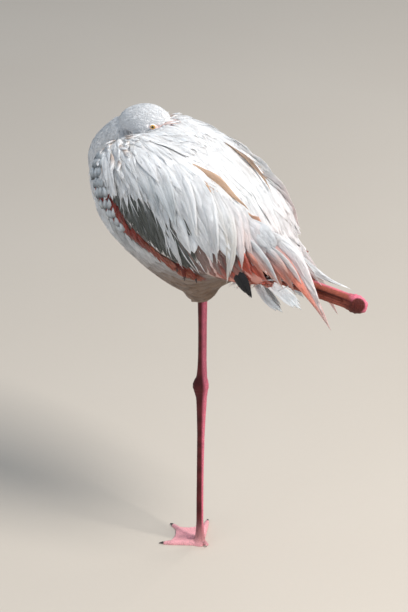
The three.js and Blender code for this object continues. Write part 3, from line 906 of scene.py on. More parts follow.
def body_lie(places):
    """The way feathers point on the body: a blend of the named places, mirrored across the middle."""
    places_left = mirrored(places) - LEAN
    side = np.where(places[:, 1] < MIDLINE, -1.0, 1.0)
    gaps = ((places_left[:, None] - LIE[None, :, :3]) ** 2).sum(2)
    weights = np.exp(-(gaps - gaps.min(1, keepdims=True)) / (2 * LIE_REACH ** 2))
    ways = weights @ LIE[:, 3:]
    ways[:, 1] *= side
    return unit(ways)


LOCK_WIDTH = 32.0  # from one finger of the wing's plumes to the next
LOCK_PULL = 0.12


def plume_lie(places):
    """The body's lie, with the wing's plumes drawn together into locks that end as fingers."""
    ways = body_lie(places)
    x, _, z = np.moveaxis(mirrored(places) - LEAN, -1, 0)
    across = 0.92 * x - 0.40 * z
    across = across + 6 * np.sin(across * 0.045) + 5 * np.sin(z * 0.05)
    pull = LOCK_PULL * np.sin(2 * math.pi * across / LOCK_WIDTH)
    ways[:, 0] -= 0.92 * pull
    ways[:, 2] += 0.40 * pull
    return unit(ways)


def one_way(*way):
    """A lie in which all feathers point the same way."""
    return lambda places: np.tile(way, (len(places), 1))


def neck_lie(places):
    """The way feathers point on head and neck: from the bill towards the neck's root."""
    best = np.full(len(places), 1e9)
    ways = np.zeros_like(places)
    for way, gap in stretches(places, NECK_LINE):
        closer = gap < best
        best = np.where(closer, gap, best)
        ways[closer] = unit(way)
    return ways


def flatten(ways, normals):
    """Ways turned to lie in the surface."""
    return unit(ways - (ways * normals).sum(1, keepdims=True) * normals)


def spin(ways, normals, angles):
    """Ways turned in the surface by angles in radians."""
    aside = np.cross(normals, ways)
    return ways * np.cos(angles)[:, None] + aside * np.sin(angles)[:, None]


UNWRAP_SHARE = 0.12  # of the skin's faces, kept for the unwrap


class Spots:
    """Places on the coat, where a layer of feathers says how densely it grows."""

    def __init__(self, places, normals, kind):
        self.places = places
        self.normals = normals
        self.kind = kind
        self.body = in_body(places)


class Coat:
    """The skin that feathers grow from: places to root them, and the surface they follow."""

    def __init__(self, places, quads, kinds, under=None):
        self.places = places
        self.quads = quads
        self.normals = vertex_normals(places, quads)
        self.kinds = kinds
        self.under = under
        self.tree = BVHTree.FromPolygons(places.tolist(), quads.tolist())
        corners = places[quads]
        self.areas = np.linalg.norm(
            np.cross(corners[:, 2] - corners[:, 0], corners[:, 3] - corners[:, 1]), axis=1) / 2
        if under is None:
            self.unwrap()

    def unwrap(self):
        """A lighter copy of the skin, unwrapped, that says where each root's patch goes."""
        mesh = bpy.data.meshes.new("unwrap")
        set_arrays(mesh, self.places, self.quads)
        light = with_modifiers(mesh, ("DECIMATE", {"ratio": UNWRAP_SHARE}), ("TRIANGULATE", {}))
        bpy.data.meshes.remove(mesh)
        light.uv_layers.new(name="OFBake")
        worker = bpy.data.objects.new("unwrap", light)
        bpy.context.scene.collection.objects.link(worker)
        bpy.context.view_layer.objects.active = worker
        worker.select_set(True)
        bpy.ops.object.mode_set(mode="EDIT")
        bpy.ops.mesh.select_all(action="SELECT")
        bpy.ops.uv.smart_project(angle_limit=math.radians(60), island_margin=0.01)
        bpy.ops.object.mode_set(mode="OBJECT")
        self.patch_places = read(light.vertices, "co", 3) / MILLIMETRE
        self.patch_tris = read(light.loops, "vertex_index", 1, int).reshape(-1, 3)
        self.patch_uvs = read(light.uv_layers["OFBake"].uv, "vector", 2).reshape(-1, 3, 2)
        self.patch_tree = BVHTree.FromPolygons(self.patch_places.tolist(), self.patch_tris.tolist())
        bpy.data.objects.remove(worker)
        bpy.data.meshes.remove(light)

    def patches(self, roots):
        """Where each root lies on the unwrap of the skin."""
        if self.under:
            return self.under.patches(roots)
        found = []
        for root in roots.tolist():
            near, _, face, _ = self.patch_tree.find_nearest(root)
            corners = [Vector(p) for p in self.patch_places[self.patch_tris[face]]]
            flat = [Vector((*uv, 0)) for uv in self.patch_uvs[face]]
            found.append(barycentric_transform(near, *corners, *flat)[:2])
        return np.array(found)

    def scatter(self, wanted, spacing, tries=7):
        """Roots about a spacing apart, where wanted, a function of spots, says so."""
        first = self.quads[:, 0]
        spots = Spots(self.places[self.quads].mean(1), self.normals[first], self.kinds[first])
        shares = np.asarray(wanted(spots), float)
        weights = self.areas * (shares > 0)
        count = int(tries * weights.sum() / spacing ** 2) + 1
        faces = draw.choice(len(self.quads), count, p=weights / weights.sum())
        a, b = draw.random((2, count, 1))
        corners = self.places[self.quads[faces]]
        spots = (corners[:, 0] * (1 - a) + corners[:, 1] * a) * (1 - b)
        spots += (corners[:, 3] * (1 - a) + corners[:, 2] * a) * b
        gaps = spacing / np.sqrt(np.clip(shares[faces], 0.05, 4))
        taken = {}
        kept = []
        for i, (spot, gap) in enumerate(zip(spots.tolist(), gaps.tolist())):
            cell = tuple(int(v // spacing) for v in spot)
            around = [
                near for dx in (-1, 0, 1) for dy in (-1, 0, 1) for dz in (-1, 0, 1)
                for near in taken.get((cell[0] + dx, cell[1] + dy, cell[2] + dz), ())]
            if all(math.dist(spot, near) > gap for near in around):
                taken.setdefault(cell, []).append(spot)
                kept.append(i)
        spots = spots[kept]
        return spots, nearest(self.tree, spots)[1]

    def trace(self, roots, ways, lengths, stations, base, lift, hug, follow, curl, power, lie, tuck):
        """Shafts grown from roots over the skin: each rises by its lift, and its tip sinks by the tuck."""
        places, ways = roots.copy(), ways.copy()
        step = (lengths / (stations - 1))[:, None]
        shafts, ups = [], []
        up = None
        for station in range(stations):
            near, normal = nearest(self.tree, places)
            along = station / (stations - 1)
            goal = base + lift * along ** power
            goal = goal * (1 - np.asarray(tuck) * max(along - 0.55, 0) / 0.45)
            above = ((places - near) * normal).sum(1)
            height = np.maximum(goal, above + hug * (goal - above))
            free = np.clip((above - goal) / 12, 0, 1)[:, None]
            if up is not None:
                normal = unit(normal * (1 - 0.8 * free) + up * 0.8 * free)
            up = normal
            sunk = above < height
            places = np.where(sunk[:, None] | (hug >= 1), near + normal * height[:, None], places)
            shafts.append(places.copy())
            ups.append(normal)
            ways = unit(ways * (1 - follow) + lie(places) * follow)
            ways = flatten(ways, normal)
            ways = spin(ways, normal, np.broadcast_to(curl, len(roots)) / (stations - 1))
            places = places + ways * step
        return np.stack(shafts, 1), np.stack(ups, 1)


# ---- vanes ----
# Across a vane from its left edge over the shaft to its right edge and back under it: place and thickness.
FLAT_VANE = np.array([[-1, 0], [-0.5, 0.7], [0, 1], [0.5, 0.7], [1, 0], [0, -1]])
LIGHT_VANE = np.array([[-1, 0], [0, 1], [1, 0], [0, -1]])
STRAND = np.array([[-1, 0], [0, 1], [1, 0]])
PATCH = 0.003  # a tuft's width on the bake map


class Flock:
    """Many vanes gathered as arrays, then made one mesh."""

    def __init__(self):
        self.places, self.quads, self.tris, self.across, self.along = [], [], [], [], []
        self.tints, self.patches, self.edges = [], [], []
        self.count = 0

    def add(self, points, section, tints, patches, along):
        """Points are vanes x stations x section; tints are vanes x stations x colour."""
        vanes, stations, ring = points.shape[:3]
        size = stations * ring
        index = np.arange(size).reshape(stations, ring)
        following = np.roll(index, -1, 1)
        sides = np.stack([index[:-1], following[:-1], following[1:], index[1:]], -1).reshape(-1, 4)
        tip, root = index[-1], index[0][::-1]
        if ring == 3:
            caps = np.array([tip, root])
        else:
            caps = np.zeros((0, 3), int)
            ends = [
                end[[0, i, i + 1, (i + 2) % ring]] for end in (tip, root) for i in range(1, ring - 1, 2)]
            sides = np.concatenate([sides, np.array(ends)])
        starts = self.count + np.arange(vanes)[:, None, None] * size
        self.quads.append((starts + sides).reshape(-1, 4))
        self.tris.append((starts + caps).reshape(-1, 3))
        self.places.append(points.reshape(-1, 3))
        u = np.broadcast_to((section[:, 0] + 1) / 2, (vanes, stations, ring))
        v = np.broadcast_to(np.broadcast_to(along, (vanes, stations))[:, :, None], (vanes, stations, ring))
        self.across.append(u.reshape(-1))
        self.along.append(v.reshape(-1))
        self.tints.append(np.broadcast_to(tints[:, :, None], (vanes, stations, ring, 3)).reshape(-1, 3))
        self.patches.append(np.repeat(patches, size, 0))
        rim = np.isin(np.arange(ring), [0, ring // 2 + 1 if ring == 6 else 2])
        self.edges.append(np.tile(np.where(rim, np.arange(ring) + 1, 0), vanes * stations))
        self.count += vanes * size

    def finish(self, name, material, slot, replaced=()):
        mesh = bpy.data.meshes.new(name)
        quads, tris = np.concatenate(self.quads), np.concatenate(self.tris)
        set_arrays(mesh, np.concatenate(self.places), quads, tris)
        corners = np.concatenate([quads.ravel(), tris.ravel()])
        across, along = np.concatenate(self.across)[corners], np.concatenate(self.along)[corners]
        centre = np.concatenate(self.patches)[corners]
        spots = centre + (np.stack([across, along], 1) - 0.5) * PATCH
        for map_name, values in (("Vane", np.stack([across, along], 1)), ("OFBake", spots)):
            layer = mesh.uv_layers.new(name=map_name)
            layer.uv.foreach_set("vector", values.astype(np.float32).ravel())
        store_tint(mesh, np.concatenate(self.tints))
        rims = np.concatenate(self.edges)
        ends = read(mesh.edges, "vertices", 2, int)
        sharp = (rims[ends[:, 0]] > 0) & (rims[ends[:, 0]] == rims[ends[:, 1]])
        mesh.attributes.new("sharp_edge", "BOOLEAN", "EDGE").data.foreach_set("value", sharp)
        return add_piece(name, mesh, material, slot, replaced)


def along_shaft(values, at):
    """Values at vanes x stations, read between the stations at shares of the length, and past the tip."""
    last = values.shape[1] - 1
    place = np.clip(at, 0, None) * last
    low = np.clip(place.astype(int), 0, last - 1)
    rows = np.arange(len(values)).reshape(-1, *[1] * (at.ndim - 1))
    return mix_last(values[rows, low], values[rows, low + 1], place - low)


def mix_last(first, second, share):
    return first + (second - first) * share[..., None]


def outline(along, broad=0.35, point=1.0):
    """Half-width of a vane from root to tip: it swells to its broadest, then narrows to its point."""
    start = np.clip(along / broad, 0, 1) ** 0.6
    end = np.clip((1 - along) / (1 - broad), 0, 1)
    return np.maximum(start * (1 - (1 - end) ** (2.2 / point)), 0.03)


def across_of(shafts, ups, roll):
    ways = unit(np.gradient(shafts, axis=1))
    sides = unit(np.cross(ways, ups))
    ups = np.cross(sides, ways)
    turn = np.broadcast_to(np.asarray(roll, float).reshape(-1, 1, 1), (len(shafts), 1, 1))
    return sides * np.cos(turn) + ups * np.sin(turn), ups * np.cos(turn) - sides * np.sin(turn)


def vane_points(shafts, sides, ups, half_width, section, droop, thick):
    """The skin of vanes: a section at every station, cupped by its droop."""
    u, t = section[:, 0], section[:, 1]
    half_width = half_width[:, :, None]
    aside = half_width * u
    raised = -droop * half_width * u ** 2 + thick / 2 * t * np.minimum(half_width / 2, 1)
    return shafts[:, :, None] + sides[:, :, None] * aside[..., None] + ups[:, :, None] * raised[..., None]


def grow(flock, coat, roots, ways, lengths, widths, root_tint, tip_tint, *, stations=8, base=0.6, lift=6.0,
         hug=1.0, follow=0.3, curl=0.0, roll=0.0, droop=0.3, thick=0.7, strands=6, splay=1.0, broad=0.35,
         point=1.0, section=FLAT_VANE, rise_power=1.2, lie=body_lie, strand_width=0.20, reach=0.08,
         fluff=0.5, tuck=0.0):
    """Feathers from roots on the coat: each a cupped vane with looser barbs lying on it."""
    shafts, ups = coat.trace(
        roots, ways, lengths, stations, base, lift, hug, follow, curl, rise_power, lie, tuck)
    patches = coat.patches(roots)
    dress(flock, shafts, ups, widths, root_tint, tip_tint, patches, roll=roll, droop=droop, thick=thick,
          strands=strands, splay=splay, broad=broad, point=point, section=section,
          strand_width=strand_width, reach=reach, fluff=fluff)


def dress(flock, shafts, ups, widths, root_tint, tip_tint, patches, *, roll=0.0, droop=0.3, thick=0.7,
          strands=6, splay=1.0, broad=0.35, point=1.0, section=FLAT_VANE, strand_width=0.20, reach=0.08,
          fluff=0.5):
    """Vanes and their loose barbs on given shafts."""
    count, stations = shafts.shape[:2]
    sides, ups = across_of(shafts, ups, roll)
    along = np.linspace(0, 1, stations)
    half = widths[:, None] / 2 * outline(along, broad, point)
    tints = mix(root_tint[:, None], tip_tint[:, None], rise(along, 0.15, 0.85))
    flock.add(vane_points(shafts, sides, ups, half, section, droop, thick), section, tints, patches, along)
    if not strands:
        return
    steps = np.array([0, 0.35, 0.7, 1.0])
    start = draw.uniform(0.02, 0.62, (count, strands, 1))
    span = draw.uniform(0.28, 0.42, (count, strands, 1))
    at = np.minimum(start + span * steps, 1 + reach)
    lateral = np.sort(draw.uniform(-1, 1, (count, strands)), 1)[..., None]
    width_there = outline(np.clip(at, 0, 0.93), broad, point) * widths[:, None, None] / 2
    aside = lateral * (0.25 + 0.8 * splay * steps) * width_there
    lifted = 0.2 + fluff * draw.uniform(0.2, 1.1, (count, strands, 1)) * steps
    lifted = lifted - droop * aside ** 2 / (widths[:, None, None] / 2)
    flat = (count * strands, len(steps))
    there = along_shaft(shafts, at) + along_shaft(sides, at) * aside[..., None]
    upward = unit(along_shaft(ups, at))
    there = (there + upward * lifted[..., None]).reshape(*flat, 3)
    upward = upward.reshape(*flat, 3)
    strand_sides, strand_ups = across_of(there, upward, draw.normal(0, 0.25, flat[0]))
    thin = np.array([0.45, 1.0, 0.75, 0.08]) * strand_width
    half = np.repeat(widths, strands)[:, None] / 2 * thin * draw.uniform(0.6, 1.3, (flat[0], 1))
    root_tint, tip_tint = (np.repeat(tint, strands, 0)[:, None] for tint in (root_tint, tip_tint))
    tints = mix(root_tint, tip_tint, rise(at.reshape(flat), 0.15, 0.85))
    tints = tints * draw.uniform(0.93, 1.04, (flat[0], 1, 1))
    points = vane_points(there, strand_sides, strand_ups, half, STRAND, 0.0, 0.5)
    flock.add(points, STRAND, tints, np.repeat(patches, strands, 0), at.reshape(flat))


# ---- plumage, part by part ----
# Heights at which the wing's white feathers end, for places from the shoulder to the rump.
HEM_X = [-165, -132, -122, -104, -88, -67, -37, -11, 23, 61, 85, 116, 141, 165]
HEM_Z = [620, 602, 596, 588, 592, 588, 582, 592, 612, 643, 668, 703, 730, 745]
# Heights at which the long plumes of the upper wing end, above the strands in front that are greyed with
# painted shade.
TIPS_X = [-40, -10, 5, 20, 50, 105, 141]
TIPS_RISE = [0, 14, 42, 78, 76, 14, 0]
# How far the crease between the mantle and the wing's plumes is from the middle.
CREASE_X = [-145, -116, -88, -48, -30, 0]
CREASE_Y = [0, 25, 50, 61, 70, 84]


def shades(count, tint, spread=0.03):
    """A tint for each feather, each a little lighter or darker."""
    return np.broadcast_to(tint, (count, 3)) * (1 + draw.normal(0, spread, (count, 1)))


def in_body(places):
    """Places on the left side, before the body leans, as x, y and z."""
    return np.moveaxis(mirrored(places) - LEAN, -1, 0)


def to_hem(roots, ways, lengths, shortest=16.0, raised=0.0, drop_by=0.0):
    """Lengths cut so that the tips stop at the hem of the wing's white feathers."""
    x, _, z = in_body(roots)
    drop = np.maximum(-ways[:, 2], 0.15)
    under = x + ways[:, 0] * lengths * 0.6
    hem = np.interp(under, HEM_X, HEM_Z) + raised * np.interp(under, TIPS_X, TIPS_RISE) - drop_by
    above = z > np.interp(x, HEM_X, HEM_Z)
    room = (z - hem) / drop
    return np.where(above, np.clip(lengths, shortest, np.maximum(room, shortest)), lengths)


def bare_face(places):
    """0 where no feathers grow: round the eyes, and on the bare skin from the eyes to the bill."""
    free = np.ones(len(places))
    for centre in EYES.values():
        free *= np.linalg.norm((places - centre) * [0.82, 1, 1.2], axis=1) > 7.2
    x, _, z = places.T
    lore = (x < 78) & (np.abs(z - 779) < 8) & (z > 700)
    return free * ~lore


def scattered(coat, spacing, wanted, jitter, lie=body_lie):
    roots, normals = coat.scatter(wanted, spacing)
    ways = flatten(lie(roots), normals)
    return roots, spin(ways, normals, draw.normal(0, jitter, len(roots)))


def feather_head(coat, material):
    flock = Flock()
    roots, ways = scattered(
        coat, 2.7, lambda spots: (spots.kind == "head") * bare_face(spots.places), 0.16, neck_lie)
    count = len(roots)
    tint = shades(count, WHITE, 0.012)
    grow(flock, coat, roots, ways, draw.uniform(6.5, 9, count), draw.uniform(3.0, 3.8, count), tint, tint,
         stations=4, base=0.15, lift=0.55, section=STRAND, droop=0.15, thick=0.3, strands=0, lie=neck_lie)
    roots, ways = scattered(coat, 4.6, lambda spots: spots.kind == "neck", 0.16, neck_lie)
    count = len(roots)
    tint = shades(count, WHITE, 0.015)
    grow(flock, coat, roots, ways, draw.uniform(13, 18, count), draw.uniform(5.5, 7.5, count), tint, tint,
         stations=5, base=0.3, lift=1.3, section=LIGHT_VANE, droop=0.15, thick=0.4, strands=2, lie=neck_lie,
         strand_width=0.3)
    flock.finish("head_and_neck_feathers", material, "plumage")


def feather_under(coat, material):
    """Short feathers over breast, belly and thigh, and the covers that lie under the long ones."""
    flock = Flock()

    def low(spots):
        x, _, z = spots.body
        under_wing = z < np.interp(x, HEM_X, HEM_Z) - 14
        return (spots.kind == "trunk") & (under_wing | (x > 150)) | (spots.kind == "thigh")

    roots, ways = scattered(coat, 8.0, low, 0.06)
    count = len(roots)
    tint = shades(count, 1, 0.03) * plumage_tint(roots)
    grow(flock, coat, roots, ways, draw.uniform(34, 48, count), draw.uniform(11, 15, count), tint,
         mix(tint, WHITE, 0.08), stations=7, base=1.6, lift=2.6, droop=0.15, strands=5, section=LIGHT_VANE,
         broad=0.5, point=1.2, fluff=0.12, strand_width=0.14, tuck=0.5)
    flock.finish("breast_and_belly_feathers", material, "plumage")


# The wing's fingers, from front to back: each one's line, how far it spreads, its plumes' width and the
# tint of its tip.
LOCKS = [
    ([[62, 96, 768], [28, 114, 724], [8, 119, 676]], 11, 12, SHADOW_GREY),
    ([[40, 94, 764], [0, 116, 721], [-22, 120, 661]], 12, 12, SHADOW_GREY),
    ([[14, 84, 768], [-34, 110, 720], [-50, 118, 684], [-59, 117, 652]], 12, 13, WHITE),
    ([[-16, 70, 758], [-68, 106, 707], [-84, 111, 660], [-91, 110, 614]], 14, 15, WHITE),
    ([[-48, 64, 741], [-98, 96, 690], [-110, 101, 634], [-101, 96, 574]], 12, 13, CREAM),
    ([[-70, 60, 724], [-116, 88, 678], [-128, 99, 645], [-130, 98, 606]], 12, 13, mix(WHITE, ROSE, 0.3)),
    ([[-86, 54, 708], [-128, 80, 668], [-148, 90, 640], [-154, 86, 614]], 12, 14, mix(WHITE, ROSE, 0.35)),
]
# White plumes that run on from the mantle over the left tertials' roots.
COVERS = [
    ([[-92, 36, 698], [-122, 64, 682], [-148, 79, 656], [-190, 78, 612]], 13, 16, mix(WHITE, ROSE, 0.25)),
    ([[-98, 26, 692], [-124, 56, 686], [-158, 76, 664], [-218, 76, 616]], 16, 18, WHITE),
    ([[-106, 12, 682], [-138, 46, 682], [-182, 66, 656], [-252, 62, 592]], 15, 18, WHITE),
]


def add_lock(flock, coat, side, line, spread, width, tints, feathers=9, clearance=4.5, loose=0.0):
    """Plumes that start side by side over the wing and close together to one finger's tip."""
    middle = LEAN + curve_through(line, 12) * [1, side, 1]
    up = unit(np.array([0, 0.9 * side, 0.45]))
    aside = unit(np.cross(unit(np.gradient(middle, axis=0)), up))
    spots = draw.permutation(np.linspace(-1, 1, feathers))
    until = 1 - 0.22 * np.abs(spots) * draw.uniform(0.4, 1.3, feathers)
    along = np.linspace(0, 1, 12)
    at = until[:, None] * along
    centre, out = line_at(at, along, middle), line_at(at, along, aside)
    shafts = centre + out * (spots[:, None] * spread * (1 - 0.8 * at ** 1.3))[..., None]
    shafts += up * draw.uniform(-0.9, 0.9, (feathers, 1, 1))
    near, normal = nearest(coat.tree, shafts.reshape(-1, 3))
    flat = shafts.reshape(-1, 3)
    high = ((flat - near) * normal).sum(1)
    share = at.ravel()
    room = clearance * np.minimum(0.2 + 2 * share, 1) + np.repeat(draw.uniform(0, 1.5, feathers), 12)
    free = 5 * rise(share, 0.15, 0.5) + loose * rise(share, 0.3, 1.0)
    height = np.clip(high, room, room + free)
    shafts = (flat + normal * (height - high)[:, None]).reshape(shafts.shape)
    root_tint, tip_tint = tints
    dress(flock, shafts, np.broadcast_to(up, shafts.shape), width * draw.uniform(0.85, 1.15, feathers),
          shades(feathers, root_tint, 0.015), shades(feathers, tip_tint, 0.03), coat.patches(shafts[:, 0]),
          roll=draw.normal(0, 0.06, feathers), droop=0.2, thick=0.7, strands=12, broad=0.4, point=1.25,
          strand_width=0.10, reach=0.07, fluff=0.15)


def above_tips(spots):
    """How far above the tips of the upper wing's long plumes each spot is."""
    x, _, z = spots.body
    return z - np.interp(x, HEM_X, HEM_Z) - np.interp(x, TIPS_X, TIPS_RISE)


def feather_wing(coat, material, side):
    """One wing's side: down and grey strands in front, both darkened with painted shade, and long white
    plumes down to the hem.
    """
    flock = Flock()

    def on_wing(spots):
        return (spots.kind == "wing") & (np.sign(spots.places[:, 1] - MIDLINE) == side)

    def covers(spots):
        return on_wing(spots) & (crimson_share(spots.places) < 0.3)

    roots, ways = scattered(coat, 12.0, covers, 0.08)
    count = len(roots)
    # Painted shade: the covers under the plumes are darkened so that the gaps between the plumes look
    # shadowed.
    tint = shades(count, 1, 0.08) * mix(plumage_tint(roots), under_tint(roots), 0.9)
    lengths = to_hem(roots, ways, draw.uniform(48, 66, count), drop_by=12 * rise(-roots[:, 0], 30, 90))
    grow(flock, coat, roots, ways, lengths, draw.uniform(13, 17, count), tint, tint, stations=6, base=0.2,
         lift=1.6, droop=0.2, strands=5, section=LIGHT_VANE, fluff=0.25, strand_width=0.12)

    def strands(spots):
        x, _, z = spots.body
        above = z > np.interp(x, HEM_X, HEM_Z) + 14
        return covers(spots) & above & (panel_share(spots.places) > 0.05)

    roots, ways = scattered(coat, 8.0, strands, 0.05, plume_lie)
    count = len(roots)
    lengths = to_hem(roots, ways, draw.uniform(60, 95, count))
    # Painted shade: the strands take a dark grey.
    tint = shades(count, PANEL_SHADE_GREY, 0.12)
    grow(flock, coat, roots, ways, lengths, draw.uniform(6, 9, count), mix(tint, WHITE, 0.2), tint,
         stations=8, base=1.0, lift=2.6, follow=0.2, droop=0.5, strands=6, broad=0.3, point=1.3,
         section=LIGHT_VANE, fluff=0.4, splay=1.1, strand_width=0.16, lie=plume_lie)

    def plumes(spots):
        x, y, _ = spots.body
        above = above_tips(spots)
        outer = y > np.interp(x, CREASE_X, CREASE_Y) + 10
        wanted = on_wing(spots) & outer & (x < 24) & ((y > 58) | (x < -20))
        return wanted * (0.2 * (above > 66) + 0.8 * (above > 100))

    roots, ways = scattered(coat, 13.0, plumes, 0.04, plume_lie)
    count = len(roots)
    lengths = to_hem(roots, ways, draw.uniform(105, 150, count), 30.0, 1.0, drop_by=-34.0)
    lengths = lengths * draw.uniform(0.84, 1.06, count)
    rosy = rise(-roots[:, 0], 40, 100) * rise(-roots[:, 2], -700, -630)
    tint = shades(count, WHITE, 0.015)
    grow(flock, coat, roots, ways, lengths, draw.uniform(21, 29, count), tint,
         mix(tint, ROSE, 0.3 * rosy), stations=11, base=2.4, lift=5.0, hug=0.85, follow=0.34,
         curl=draw.normal(0, 0.04, count), roll=draw.normal(0, 0.03, count), droop=0.2, strands=9,
         broad=0.4, point=1.25, strand_width=0.11, fluff=0.12, splay=0.95, reach=0.05, lie=plume_lie,
         tuck=0.25)

    def fingers(spots):
        x, y, _ = spots.body
        return on_wing(spots) & (above_tips(spots) > 8) & (x > 6) & (x < 128) & (y > 62)

    roots, ways = scattered(coat, 9.5, fingers, 0.06, plume_lie)
    count = len(roots)
    lengths = to_hem(roots, ways, draw.uniform(50, 88, count), 18.0, 1.0) * draw.uniform(0.8, 1.15, count)
    tint = shades(count, WHITE, 0.02)
    grow(flock, coat, roots, ways, lengths, draw.uniform(11, 17, count), tint, mix(tint, SHADOW_GREY, 0.25),
         stations=8, base=1.8, lift=4.0, hug=0.88, follow=0.28, curl=draw.normal(0, 0.10, count),
         roll=draw.normal(0, 0.05, count), droop=0.22, strands=8, broad=0.38, point=1.4, strand_width=0.12,
         section=LIGHT_VANE, fluff=0.25, splay=1.0, reach=0.1, lie=plume_lie)

    def wisps(spots):
        x, y, _ = spots.body
        return on_wing(spots) & (np.abs(above_tips(spots) - 22) < 18) & (x > -60) & (x < 110) & (y > 62)

    roots, ways = scattered(coat, 12.0, wisps, 0.12, plume_lie)
    count = len(roots)
    lengths = to_hem(roots, ways, draw.uniform(34, 62, count), 16.0, 0.3)
    tint = shades(count, WHITE, 0.02)
    grow(flock, coat, roots, ways, lengths, draw.uniform(1.6, 3.0, count), tint, tint, stations=9, base=3.6,
         lift=3.0, follow=0.2, curl=draw.normal(0, 0.5, count), droop=0.2, strands=2, section=LIGHT_VANE,
         point=1.4, fluff=0.3, splay=2.0, lie=plume_lie)
    for line, spread, width, tip_tint in LOCKS:
        add_lock(flock, coat, side, line, spread, width, (WHITE, tip_tint))
    name = "left" if side > 0 else "right"
    flock.finish(f"wing_plumes_{name}", material, "plumage")


def feather_shoulder(coat, material):
    """Ruffled feathers over the shoulders, and rows of curled ones down the front edge of each wing."""
    flock = Flock()

    def ruffled(spots):
        x, y, z = spots.body
        return (spots.kind == "wing") & (x > 84) & (y > 44) & (z > 728 - 0.3 * (x - 62))

    roots, ways = scattered(coat, 9.0, ruffled, 0.16)
    count = len(roots)
    tint = shades(count, WHITE, 0.03)
    # Painted shade: the ruffles' roots are cream for the shadow between them.
    grow(flock, coat, roots, ways, draw.uniform(26, 42, count), draw.uniform(10, 15, count),
         mix(tint, CREAM, 0.6), tint, stations=7, base=2.0, lift=draw.uniform(2.5, 5.5, count), hug=0.9,
         curl=draw.normal(0, 0.3, count), roll=draw.normal(0, 0.14, count), droop=0.4, strands=7,
         broad=0.45, point=1.2, rise_power=1.2, fluff=0.25, strand_width=0.14)

    def tufts(spots):
        x, y, z = spots.body
        return (spots.kind == "wing") & (x > 92) & (x < 138) & (y > 40) & (y < 100) & (z > 742)

    roots, ways = scattered(coat, 13.0, tufts, 0.4)
    count = len(roots)
    tint = shades(count, WHITE, 0.02)
    # Painted shade: the tufts' roots are tan for the shadow between them.
    grow(flock, coat, roots, ways, draw.uniform(22, 32, count), draw.uniform(8, 11, count),
         shades(count, mix(WHITE, SHADE_TAN, 0.7), 0.08), tint, stations=8, base=2.6,
         lift=draw.uniform(5, 8, count), hug=0.8,
         curl=draw.choice([-1.1, 1.1], count) + draw.normal(0, 0.3, count),
         roll=draw.normal(0, 0.2, count), droop=0.5, strands=8, broad=0.5, point=1.2, rise_power=0.8,
         fluff=0.5, strand_width=0.16, splay=1.5)

    for side in (1, -1):
        for z in CURL_ROWS:
            edge = np.interp(z, CURL_Z, CURL_X)
            spots = np.array([[edge - 2 + 7 * i, side * (106 - 4 * i), z - 2 * i] for i in range(3)]) + LEAN
            roots, normals = nearest(coat.tree, spots + draw.normal(0, 1.2, spots.shape))
            ways = flatten(curled_lie(roots), normals)
            count = len(roots)
            tint = shades(count, WHITE, 0.03)
            grow(flock, coat, roots, ways, draw.uniform(30, 36, count), draw.uniform(9, 11, count),
                 shades(count, CURL_SHADE, 0.1), mix(tint, SHADOW_GREY, 0.8), stations=9, base=2.0,
                 lift=9.0, curl=side * draw.uniform(1.5, 1.9, count),
                 roll=-side * draw.uniform(0.3, 0.5, count), droop=0.4, strands=6, broad=0.5, point=1.1,
                 rise_power=0.7, follow=0, strand_width=0.14, fluff=0.25, tuck=0.5)
    flock.finish("shoulder_ruffles", material, "plumage")


def curled_lie(places):
    """The curled feathers in front of the wing point back across it, and bend down."""
    ways = np.tile([-0.9, 0.25, 0.35], (len(places), 1))
    ways[:, 1] *= np.sign(places[:, 1] - MIDLINE)
    return ways


def feather_crimson(coat, material):
    """The crimson coverts that show between the wing's plumes and the belly."""
    flock = Flock()
    roots, ways = scattered(
        coat, 6.2, lambda spots: line_distance(mirrored(spots.places), CRIMSON_LINE) < 13, 0.2)
    count = len(roots)
    rusty = 0.75 * rise(-in_body(roots)[0], -80, 0)
    tint = mix(shades(count, CRIMSON, 0.18), shades(count, RUST, 0.1), rusty)
    grow(flock, coat, roots, ways, draw.uniform(22, 32, count), draw.uniform(8, 11, count), tint,
         mix(tint, ROSE, 0.08), stations=6, base=2.2, lift=4.0, droop=0.25, strands=6, section=LIGHT_VANE)
    flock.finish("crimson_coverts", material, "rose_plumage")


def on_bill(x, y, z):
    """Where the feathers of the sleeve round the buried bill take the mantle's place."""
    return (x > 2) & (x < 112) & (y < 50 - 0.1 * np.abs(x - 80)) & (z > 745)


